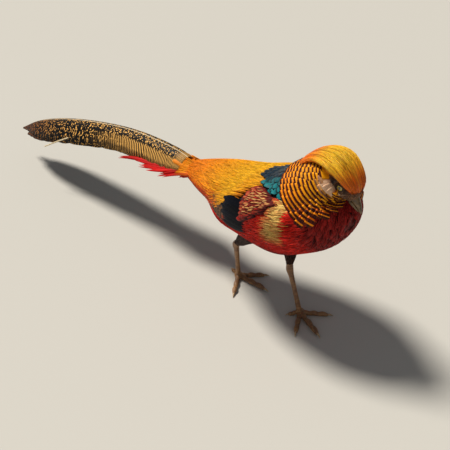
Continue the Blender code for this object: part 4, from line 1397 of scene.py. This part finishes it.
# %% Eyes
def eye_material():
    made, graph, shader = new_material("eye_wet", 0.08, specular=0.6, coat=1.0, coat_roughness=0.02)
    ring = graph.value("ring")
    fibres = graph.noise(graph.place(), 1500.0, 4.0, 0.7)
    iris = graph.mix(graph.ramp(fibres, 0.35, 0.65), (0.30, 0.22, 0.02), (0.75, 0.56, 0.10))
    colour = graph.mix(graph.ramp(ring, 0.66, 0.76), iris, (0.02, 0.012, 0.006))
    colour = graph.mix(graph.ramp(ring, 0.34, 0.38, 1.0, 0.0), colour, (0.002, 0.002, 0.003))
    graph.put(shader.inputs["Base Color"], colour)
    return made


def add_eye(name, finish):
    side = SIDES[name]
    bm = bmesh.new()
    bmesh.ops.create_uvsphere(bm, u_segments=48, v_segments=32, radius=EYE_RADIUS)
    mesh = bpy.data.meshes.new("eye_ball_" + name)
    bm.to_mesh(mesh)
    bm.free()
    obj = bpy.data.objects.new("eye_ball_" + name, mesh)
    bpy.context.scene.collection.objects.link(obj)
    points = coordinates(obj)
    gaze = unit(np.array((0.22, side * 1.0, 0.05)))
    points = points @ np.array(Vector((0, 0, 1)).rotation_difference(Vector(gaze)).to_matrix()).T
    depth = points @ gaze
    ring = np.linalg.norm(points - depth[:, None] * gaze, axis=1) / EYE_RADIUS
    ring = np.where(depth > 0, ring, 1.0)
    set_coordinates(obj, points + EYE_PLACE[name])
    set_value(obj, "ring", ring)
    mesh.shade_smooth()
    mesh.materials.append(finish)
    finish_piece(obj, "eye", "eye_" + name)


iris_finish = eye_material()
for name in SIDES:
    add_eye(name, iris_finish)

# %% [markdown]
# ## Bill and claws
# Horn grows in thin layers, darker at the root and translucent yellow towards the edges. The
# upper half of the bill hooks gently over the lower one and has a nostril under a soft flap.

# %% Bill and claws
NOSTRIL_DEPTH = 0.14
BILL_UPPER = Form(
    (7.4, M, 24.6, 0.5, 0.5, 0.5), (8.2, M, 24.1, 0.62, 0.60, 0.35), (8.9, M, 23.4, 0.42, 0.48, 0.22),
    (9.4, M, 22.7, 0.20, 0.24, 0.14), (9.5, M, 22.2, 0.05, 0.05, 0.05))
BILL_LOWER = Form(
    (7.3, M, 23.8, 0.4, 0.3, 0.3), (8.1, M, 23.3, 0.5, 0.3, 0.3),
    (8.8, M, 22.8, 0.34, 0.25, 0.2), (9.2, M, 22.4, 0.12, 0.1, 0.1))


def horn_material(name, light, dark, scale):
    made, graph, shader = new_material(name, 0.34, specular=0.5, coat=0.15, coat_roughness=0.3)
    inputs = {"Vector": graph.place(), "Scale": scale, "Distortion": 3.0, "Detail": 3.0}
    layers = graph.node("ShaderNodeTexWave", inputs, bands_direction="DIAGONAL").outputs["Fac"]
    cloudy = graph.noise(graph.place(), scale * 1.5, 4.0, 0.65)
    colour = graph.mix(graph.ramp(cloudy, 0.35, 0.65), light, dark)
    colour = graph.mix(graph.times(layers, 0.25), colour, dark)
    colour = graph.mix(graph.value("root"), colour, tuple(0.45 * c for c in dark))
    graph.put(shader.inputs["Base Color"], colour)
    raised(graph, shader, graph.plus(layers, cloudy), 0.35, 0.0003)
    return made


bill_horn = horn_material("bill_horn", (0.22, 0.13, 0.045), (0.06, 0.032, 0.012), 130.0)
claw_horn = horn_material("claw_horn", (0.55, 0.38, 0.20), (0.20, 0.11, 0.05), 240.0)


def add_bill(name, form, slot_nodes):
    points, polygons = form.loft(60, 40)
    for side in SIDES.values():
        nostril = (8.55, M + side * 0.48, 23.98)
        depth = NOSTRIL_DEPTH * CM * bump_at(points, nostril, (0.26, 0.3, 0.14))
        points = points - unit(points - form.axes(0.5)[0]) * depth[:, None]
    root = step(points[:, 0] / CM - 0.4 * (points[:, 2] / CM - 24), 8.5, 7.9)
    obj = add_mesh(name, points, polygons, bill_horn, values={"root": root})
    finish_piece(obj, "horn", slot_nodes)


add_bill("bill_top", BILL_UPPER, "bill_upper")
add_bill("bill_base", BILL_LOWER, "bill_lower")
for name, leg in LEGS.items():
    lofts = [leg.claw(*toe).loft(16, 14) for toe in leg.toes.values()]
    points, polygons = joined(lofts)
    obj = add_mesh("claws_" + name, points, polygons, claw_horn, values={"root": np.zeros(len(points))})
    finish_piece(obj, "claw_horn", *[f"claw_{toe}_{name}" for toe in leg.toes])

# %% [markdown]
# ## Legs and feet
# A pheasant's shank has two rows of overlapping plates in front and small round scales behind.
# The toes carry a single row of plates on top. Shank and toes are melted into one skin, and
# each plate is a small step in the surface that repeats along the bone.

# %% Legs and feet
def leg_material():
    made, graph, shader = new_material("leg_scales", 0.42, specular=0.45, coat=0.08)
    cells = graph.cells(graph.place(), 620.0, feature="DISTANCE_TO_EDGE")
    between = graph.ramp(cells, 0.02, 0.14, 1.0, 0.0)
    stain = graph.noise(graph.place(), 120.0, 4.0, 0.6)
    colour = graph.mix(graph.ramp(stain, 0.35, 0.65), (0.38, 0.19, 0.07), (0.20, 0.09, 0.035))
    colour = graph.mix(graph.times(between, 0.5), colour, (0.09, 0.04, 0.02))
    colour = graph.mix(graph.times(graph.value("groove"), 0.8), colour, (0.07, 0.03, 0.015))
    graph.put(shader.inputs["Base Color"], colour)
    raised(graph, shader, graph.times(between, -1.0), 0.5, 0.0003)
    return made


leg_finish = leg_material()


def scuted(obj, forms, pitch):
    """Raises plates along each form, on its front or top. Gives how deep in a groove each point is."""
    points, outward = coordinates(obj), normals(obj)
    best = np.full(len(points), 9.0)
    height, groove = np.zeros(len(points)), np.zeros(len(points))
    for form, plate in zip(forms, pitch):
        t = np.linspace(0, 1, 80)
        line, _, upward, _ = form.axes(t)
        travelled = np.concatenate([[0], np.cumsum(np.linalg.norm(np.diff(line, axis=0), axis=1))]) / CM
        gaps = np.linalg.norm(points[:, None] - line[None], axis=2)
        nearest = np.argmin(gaps, axis=1)
        gap = gaps[np.arange(len(points)), nearest] / form.station(t[nearest])[:, 3]
        offset = unit(points - line[nearest])
        front = np.sum(offset * upward[nearest], axis=1)
        way = form.axes(t[nearest])[3]
        lean = np.sum(offset * np.cross(way, upward[nearest]), axis=1)
        ahead = np.sum((points - line[nearest]) * way, axis=1) / CM
        phase = (travelled[nearest] + ahead) / plate
        phase = phase + 0.5 * (lean > 0) * (plate > 0.3)
        saw = phase % 1.0
        rise = (1 - saw) ** 0.7 * step(front, -0.1, 0.35)
        seam = np.exp(-((saw - 0.97) / 0.06) ** 2) + np.exp(-(saw / 0.05) ** 2)
        middle = np.exp(-((lean + 0.02) / 0.05) ** 2) * (plate > 0.3)
        seam = np.maximum(seam, middle) * step(front, 0.0, 0.4)
        mine = gap < best
        best = np.where(mine, gap, best)
        height, groove = np.where(mine, rise, height), np.where(mine, seam, groove)
    set_coordinates(obj, points + outward * ((0.035 * height - 0.03 * groove) * CM)[:, None])
    return np.clip(groove, 0, 1)


def add_leg(name, leg):
    toes = [leg.toe(*sizes, rear=toe == "rear") for toe, sizes in leg.toes.items()]
    forms = [leg.shank(), *toes]
    pad = ball_loft((leg.sole + (0, 0, 0.40)) * CM, (0.66, 0.62, 0.60))
    obj = flesh("leg_" + name, [form.loft(40, 24) for form in forms] + [pad], LEG_VOXEL, 4)
    set_value(obj, "groove", scuted(obj, forms, (0.42, 0.26, 0.26, 0.26, 0.22)))
    points = coordinates(obj)
    points[:, 2] = np.maximum(points[:, 2], 0.0)
    set_coordinates(obj, points)
    set_finish(obj, leg_finish)
    finish_piece(obj, "leg_skin", "shank_" + name, "foot_" + name)


for name, leg in LEGS.items():
    add_leg(name, leg)

# %% [markdown]
# ## Thigh feathers
# Soft brown-black feathers with a little rust cover each thigh down to the hock. They are
# short tufts that hang down the leg.

# %% Thigh feathers
thigh_plume = plume(
    "thigh_plume", (0.012, 0.005, 0.004), (0.05, 0.016, 0.009), tip_from=0.2, tip_to=0.9,
    dark=(0.006, 0.003, 0.002), shift=(0.12, 0.004, 0.003), streak=0.5, own=0.8, drift=0.5,
    roughness=0.65, specular=0.15, barbs=14.0)


def lay_thigh(name, leg):
    form = leg.thigh()
    t, angle = scatter(form, (0.02, 0.86), (-180, 180), 0.26, 0.26, jitter=0.8)
    roots = form.point(t, angle)
    heading = -form.axes(t)[3] + np.array((-0.25, 0, 0)) + rng.normal(0, 0.12, (len(t), 3))
    length = 1.0 + 0.5 * rng.random(len(t))
    lifts = profile(-0.28, -0.05, 0.02, 0.05, 0.06)
    laid = Ground(form.loft(40, 30)).lay(roots, heading, length, lifts, stiff=0.5)
    widths = profile(0.5, 1.0, 0.95, 0.6, 0.1) * (0.14 + 0.06 * rng.random((len(t), 1)))
    red = step(laid[0][:, -1, 2] / CM, 11.2, 13.0)
    obj = blades("thigh_feathers_" + name, laid, widths, thigh_plume, columns=3, roots=unwrapped(t, angle),
                 roll=0.3, values={"shift": red})
    finish_piece(obj, "thigh_plumage")


for name, leg in LEGS.items():
    lay_thigh(name, leg)

# %% [markdown]
# ## Folded wing
# A folded wing is a stack of shingles. The long primaries lie lowest, then glossy blue-black
# tertials, then chestnut coverts with buff streaks, and the maroon shoulder feathers lie on
# top. Each tier is laid over the one behind it, a little further out.

# %% Wing materials
def buff_bars(graph, colour, place, tone):
    bar = graph.group(BARS, map=place, count=9.0, share=0.35, bend=-0.5, wobble=0.5, tone=tone)
    return graph.mix(bar["Bar"], colour, (0.26, 0.11, 0.04))


def buff_fleck(graph, colour, place, tone):
    """A pale streak down the middle of a feather, which widens to its tip."""
    _, along, from_shaft = graph.vane(place)
    streak = graph.times(graph.ramp(from_shaft, 0.14, 0.24, 1.0, 0.0), graph.ramp(along, 0.42, 0.60))
    return graph.mix(graph.times(streak, graph.value("fleck")), colour, (1.0, 0.66, 0.22))


primary_plume = plume(
    "primary_plume", (0.020, 0.008, 0.005), (0.035, 0.013, 0.008), dark=(0.008, 0.004, 0.003), streak=0.4,
    shaft=(0.12, 0.06, 0.03), own=0.4, roughness=0.5, specular=0.15, barbs=60.0, paint=buff_bars)
tertial_plume = plume(
    "tertial_plume", (0.001, 0.002, 0.006), (0.002, 0.004, 0.012), dark=(0.001, 0.001, 0.002), streak=0.4,
    rim=(0.001, 0.001, 0.001), side_width=0.10, tip_width=0.03, shaft=(0.001, 0.001, 0.002), shaft_width=0.02,
    own=0.7, roughness=0.5, specular=0.05, barbs=60.0, bump=0.15)
covert_plume = plume(
    "covert_plume", (0.05, 0.002, 0.002), (0.46, 0.012, 0.004), tip_from=0.35, tip_to=0.85,
    dark=(0.04, 0.001, 0.002), shift=(0.24, 0.012, 0.004), shift_tip=(0.44, 0.030, 0.008), streak=0.6,
    rim=(0.04, 0.002, 0.002), side_width=0.09, tip_width=0.05, own=0.7, drift=0.3, roughness=0.5,
    specular=0.15, barbs=30.0, paint=buff_fleck)
print("wing materials ready")

# %% Wing feathers
def row(low, high, count):
    """Roots along a row, from a low point to a high one."""
    share = (np.arange(count) + rng.normal(0, 0.06, count)) / max(count - 1, 1)
    return [(low[0] + s * (high[0] - low[0]), low[1] + s * (high[1] - low[1])) for s in share]


LONG_VANE = (0.25, 0.55, 0.8, 0.95, 1.0, 1.0, 0.92, 0.66, 0.22)
ROUND_VANE = (0.4, 0.8, 1.0, 1.0, 0.85, 0.35)
SLIM_VANE = (0.4, 0.8, 1.0, 0.9, 0.6, 0.1)
LONG_LIFTS = profile(-0.25, -0.05, 0.02, 0.05, 0.07, 0.09, 0.10, 0.11, 0.11)
ROUND_LIFTS = profile(-0.25, 0.0, 0.08, 0.12, 0.14, 0.15)


# How far from the middle plane the gold and the mantle end, against x, in cm
BACK_EDGE = ((-6.6, 3.4), (-4.5, 3.7), (-1.9, 4.4), (0.3, 5.2), (1.6, 5.7))


def sow_wing(side, rear, front, along, around):
    """Roots of small wing feathers between the back and the scarlet flank."""
    angles = (20, 125) if side < 0 else (-125, -20)
    t, angle = scatter(BODY, BODY.t((rear, front)), angles, along, around, jitter=0.25)
    roots = BODY.point(t, angle)
    x, y, z = (roots / CM).T
    keep = (np.abs(y - M) > edge_height(BACK_EDGE, x)) & (z > edge_height(SCARLET_EDGE, x) + 0.1)
    return t[keep], angle[keep], roots[keep]


def lay_long_tier(side, rows, length, half, raise_by, heading):
    """Long feathers of the folded wing, from a row of roots given as x and z."""
    roots = np.array([(x, M + side * 9.0, z) for x, z in rows]) * CM
    ways = np.array(heading)[None] + rng.normal(0, 0.03, (len(roots), 3))
    size = rng.normal(1, 0.04, len(roots))
    laid = body.lay(roots, ways, length * size, LONG_LIFTS + raise_by, stiff=0.4)
    patches = np.stack([0.05 + 0.9 * np.linspace(0, 1, len(rows)), np.full(len(rows), 0.25)], -1)
    return laid, np.array(LONG_VANE)[None] * half * size[:, None], patches


def lay_small_tier(side, rear, front, along, around, length, half, raise_by, shape):
    """Coverts or scapulars, laid back and a little down over the wing."""
    t, angle, roots = sow_wing(side, rear, front, along, around)
    ways = -flow(BODY, t, angle) + np.array((0, 0, -0.25)) + rng.normal(0, 0.05, (len(t), 3))
    size = rng.normal(1, 0.06, len(t))
    laid = body.lay(roots, ways, length * size, ROUND_LIFTS + raise_by, stiff=0.3)
    return laid, np.array(shape)[None] * half * size[:, None], unwrapped(t, angle)


def lay_wing(name, side):
    tiers = {
        "primaries": (primary_plume, 9, lay_long_tier(
            side, row((-5.2, 13.9), (-5.4, 16.6), 9), length=6.6, half=0.44, raise_by=0.0,
            heading=(-1.0, 0, 0.02))),
        "tertials": (tertial_plume, 9, lay_long_tier(
            side, row((-2.6, 15.4), (-3.4, 20.8), 11), length=5.6, half=0.62, raise_by=0.08,
            heading=(-1.0, 0, -0.16))),
        "coverts": (covert_plume, 7, lay_small_tier(
            side, -3.3, 2.6, along=0.56, around=0.46, length=1.75, half=0.35, raise_by=0.12,
            shape=ROUND_VANE)),
        "scapulars": (covert_plume, 5, lay_small_tier(
            side, -2.6, 2.9, along=0.50, around=0.32, length=1.6, half=0.18, raise_by=0.20,
            shape=SLIM_VANE)),
    }
    for tier, (finish, columns, (laid, widths, patches)) in tiers.items():
        x, _, z = (laid[0][:, -1] / CM).T
        buff = step(z - edge_height(SCARLET_EDGE, x), 0.8, 2.0) * step(x, -5.4, -3.8)
        pale = buff * (rng.random(len(x)) < 0.8) * (0.65 + 0.35 * rng.random(len(x)))
        pale = pale * (1.0 if tier == "scapulars" else 0.5)
        obj = blades(f"{tier}_{name}", laid, widths, finish, columns=columns, camber=0.13, roots=patches,
                     patch=0.02, thickness=0.04, roll=0.05, values={"fleck": pale, "shift": 0.6 * buff})
        finish_piece(obj, "wing_plumage", *(["wing_" + name] if tier == "primaries" else []))


for name, side in SIDES.items():
    lay_wing(name, side)

# %% [markdown]
# ## Tail
# The tail is a steep roof. The two longest feathers lie on its ridge and are black with
# hundreds of cinnamon spots; the side feathers under them are stepped and barred at a slant.
# Near the root, the spots run together into fine cross bars.

# %% Tail materials
def mottled(graph, colour, place, tone, width, length, bars, slant):
    """Cinnamon spots on black, which turn into cross bars near the root and the lower edges."""
    across, along, from_shaft = graph.vane(place)
    waved = graph.math("MULTIPLY_ADD", across, width, graph.times(graph.noise(place, 16.0), 2.4))
    spot_place = graph.point(waved, graph.times(along, length), graph.times(tone, 40.0))
    spot = graph.ramp(graph.cells(spot_place, 1.0, 0.8), 0.32, 0.40, 1.0, 0.0)
    bar = graph.group(BARS, map=place, count=bars, share=0.42, bend=slant, wobble=1.1, tone=tone)["Bar"]
    low_side = graph.times(graph.ramp(from_shaft, 0.24, 0.30), graph.ramp(along, 0.26, 0.50, 1.0, 0.0))
    barred = graph.plus(graph.ramp(along, 0.04, 0.08, 1.0, 0.0), low_side, clamp=True)
    spotted = graph.times(spot, graph.minus(1.0, barred))
    mask = graph.plus(graph.times(bar, barred), spotted, clamp=True)
    buff = graph.mix(graph.ramp(along, 0.45, 0.95), (0.86, 0.46, 0.12), (0.30, 0.08, 0.018))
    ground = graph.mix(graph.ramp(along, 0.6, 1.0), colour, (0.025, 0.008, 0.004))
    return graph.mix(mask, ground, buff)


TAIL_LOOK = {
    "dark": (0.002, 0.001, 0.001), "streak": 0.10, "drift": 0.25, "roughness": 0.5, "specular": 0.12,
    "slant": 14.0, "bump": 0.12}
middle_plume = plume(
    "middle_tail_plume", (0.004, 0.003, 0.003), (0.005, 0.003, 0.003), shaft=(0.60, 0.48, 0.32),
    shaft_width=0.022, own=0.15, barbs=150.0, **TAIL_LOOK,
    paint=lambda *parts: mottled(*parts, width=22.0, length=170.0, bars=120.0, slant=0.10))
side_plume = plume(
    "side_tail_plume", (0.005, 0.003, 0.003), (0.007, 0.004, 0.003), shaft=(0.20, 0.12, 0.06),
    shaft_width=0.03, own=0.2, barbs=110.0, **TAIL_LOOK,
    paint=lambda *parts: mottled(*parts, width=11.0, length=150.0, bars=105.0, slant=0.22))
print("tail materials ready")

# %% Tail feathers
TAIL_WHOLE = 44.5  # length of the longest feather, in cm
SIDE_TAIL_FEATHERS = 8


def tail_blades(name, feathers, finish, rings, columns, droop):
    """Long vanes along the tail form, each with its own strip of the map."""
    *laid, widths = (np.stack(parts) for parts in zip(*feathers))
    count = len(feathers)
    obj = blades(name, laid, widths / CM, finish, columns=columns, camber=droop, thickness=0.05)
    vane = np.empty(len(obj.data.loops) * 2, np.float32)
    obj.data.uv_layers["Vane"].data.foreach_get("uv", vane)
    vane = vane.reshape(-1, 2)
    corner = np.empty(len(obj.data.loops), np.int32)
    obj.data.loops.foreach_get("vertex_index", corner)
    which = corner // (rings * (2 * columns - 2))
    strip = np.stack([(which + 0.08 + 0.84 * vane[:, 0]) / count, 0.02 + 0.96 * vane[:, 1]], -1)
    obj.data.uv_layers["OFBake"].data.foreach_set("uv", strip.astype(np.float32).ravel())
    return obj


def notched(widths, amount):
    """A vane's outline with small splits between its barbs."""
    return widths * (1 - amount * rng.random(len(widths)) ** 3)


def middle_pair():
    """The two longest feathers, one over the other on the ridge."""
    rings = 90
    share = np.linspace(0, 1, rings)
    found = []
    for layer, length in enumerate((TAIL_WHOLE, 41.5)):
        t = 0.10 + 0.895 * share * length / TAIL_WHOLE
        centre, side, upward, _ = TAIL.axes(t)
        values = TAIL.station(t)
        place = centre + upward * (values[:, 4:5] * 0.9 - 0.12 * CM * layer)
        widths = notched(values[:, 3] * 0.80 * (1 - 0.85 * share**6), 0.10)
        found.append((place, side, upward, widths))
    return found, rings


def roof_place(t, turn, sunk, reach):
    """Places down one slope of the tail's roof, sunk below it in cm, and the axes down and out of it."""
    centre, side, upward, _ = TAIL.axes(t)
    values = TAIL.station(t)
    across = unit(side * turn * 0.80 - upward * 0.76)
    outward = unit(side * turn * 0.76 + upward * 0.80)
    place = centre + upward * (values[:, 4:5] * 0.9 - 0.10 * CM)
    down = across * values[:, 3:4] * np.reshape(reach, (-1, 1))
    return place + down - outward * np.reshape(sunk, (-1, 1)) * CM, across, outward


def side_feathers():
    """The stepped feathers down both slopes of the roof."""
    rings = 48
    share = np.linspace(0, 1, rings)
    found = []
    for turn in (-1, 1):
        for j in range(SIDE_TAIL_FEATHERS):
            length = 38.0 * 0.845**j + 3.0
            t = 0.10 + 0.895 * share * length / TAIL_WHOLE
            place, across, outward = roof_place(t, turn, 0.10 + 0.05 * j, 0.66 + 0.022 * j)
            web = TAIL.station(t)[:, 3] * (0.50 - 0.010 * j)
            widths = web * (1 - 0.80 * share**5) * (0.5 + 0.5 * np.minimum(1, share * 4))
            found.append((place, across * turn, outward, notched(widths, 0.14)))
    return found, rings


feathers, rings = middle_pair()
middle_tail = tail_blades("middle_tail_feathers", feathers, middle_plume, rings, 13, 0.95)
finish_piece(middle_tail, "mottled_tail", "tail")
feathers, rings = side_feathers()
side_tail = tail_blades("side_tail_feathers", feathers, side_plume, rings, 7, 0.10)
finish_piece(side_tail, "mottled_tail")

# %% [markdown]
# ## Bare quill
# One side feather is worn: near its end only the shaft is left, and it shows pale across the
# tail's right edge. It is a thin loft through a few places on the roof, in pale horn.

# %% Bare quill
def add_quill():
    """The bare end of a worn side feather's shaft, which shows below the right edge."""
    share = np.linspace(0, 1, 6)
    place, _, _ = roof_place(0.53 + 0.19 * share, -1, -0.14, 0.52 + 0.80 * share)
    radius = 0.13 - 0.03 * share**2
    line = Form(*[(*spot, r, r, r) for spot, r in zip(place / CM, radius)])
    points, polygons = line.loft(40, 12)
    horn = horn_material("quill_horn", (0.86, 0.74, 0.50), (0.60, 0.46, 0.26), 240.0)
    quill = add_mesh("bare_quill", points, polygons, horn, values={"root": np.zeros(len(points))})
    finish_piece(quill, "mottled_tail")


add_quill()

# %% [markdown]
# ## Gold over the tail's root
# The last feathers of the rump run out over the root of the tail and hide where its vanes
# begin. Fine golden strands start under the rump and settle on the roof.

# %% Gold over the tail's root
ROOT_STRANDS = 1400


def lay_tail_root():
    count, rings = ROOT_STRANDS, 7
    share = np.linspace(0, 1, rings)[None, :]
    end = 0.05 + 0.05 * rng.random((count, 1))
    reach = 1.35 * rng.random((count, 1)) - 0.05 + 0.05 * share
    lift = 0.25 * rng.random((count, 1)) + 0.80 - 0.35 * share
    turn = np.where(np.arange(count) % 2, 1, -1)
    laid = [roof_place(end[i] * share[0], turn[i], -lift[i], reach[i]) for i in range(count)]
    places, _, outwards = stacked(laid)
    along = unit(np.gradient(places, axis=1))
    widths = profile(0.8, 1.0, 1.0, 0.9, 0.7, 0.4, 0.06) * (0.07 + 0.05 * rng.random((count, 1)))
    low = step(reach[:, :1] + rng.normal(0, 0.1, (count, 1)), 1.05, 1.25)
    values = {"shift": np.full(count, 0.75), "red": low * np.linspace(0.4, 1.0, rings)[None, :]}
    roots = np.stack([0.1 + 0.8 * reach[:, 0] / 1.4, np.full(count, 0.05)], -1)
    laid = (places, unit(np.cross(along, outwards)), outwards)
    return blades("golden_tail_root", laid, widths, golden_plume, columns=3, roots=roots, roll=0.3,
                  values=values)


finish_piece(lay_tail_root(), "golden_plumage")

# %% [markdown]
# ## Scarlet tail coverts
# Along both lower edges of the tail's root hang narrow scarlet feathers, the longest of which
# reach a third of the way down the tail. Shorter ones hide their roots.

# %% Scarlet tail coverts
red_covert_plume = plume(
    "red_covert_plume", (0.40, 0.02, 0.004), (0.70, 0.006, 0.005), tip_from=0.1, tip_to=0.4,
    dark=(0.14, 0.0, 0.003), streak=0.5, shaft=(0.25, 0.02, 0.01), own=0.4, drift=0.2, roughness=0.5,
    specular=0.15, barbs=70.0)


# Where the clusters of red tips end along the tail, as shares of its line
RED_TIPS = (0.39, 0.32, 0.26, 0.20, 0.15, 0.11, 0.07, 0.04)


def lay_red_coverts():
    rings = 14
    share = np.linspace(0, 1, rings)
    laid, widths, roots = [], [], []
    for turn in (-1, 1):
        for cluster in RED_TIPS:
            for j in range(5):
                end = cluster - 0.035 * rng.random() * j
                start = max(end - 0.15 - 0.03 * rng.random(), 0.0)
                reach = (0.80 + 0.25 * rng.random()) + (0.28 + 0.26 * rng.random()) * share**1.6
                lift = -0.05 - 0.03 * j - 0.12 * share * (1 - share) + 0.10 * share
                laid.append(roof_place(start + (end - start) * share, turn, lift, reach))
                widths.append((0.24 + 0.14 * rng.random()) * np.sin(np.pi * (0.14 + 0.85 * share)) ** 0.8)
                roots.append((0.1 + 0.8 * cluster / 0.4, (0.25 if turn < 0 else 0.75) + 0.02 * j))
    return blades("scarlet_tail_coverts", stacked(laid), np.stack(widths), red_covert_plume, columns=5,
                  camber=0.25, roots=np.array(roots), patch=0.02)


finish_piece(lay_red_coverts(), "scarlet_plumage")

# %% [markdown]
# ## Finish
# The dressed bird has to fill the same room as its solids, so both boxes are printed.

# %% Measure and finish
shown_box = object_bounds()
for label, box in (("solids", cad_box), ("dressed", shown_box)):
    print(label, [[round(value * 1000, 1) for value in corner] for corner in box])
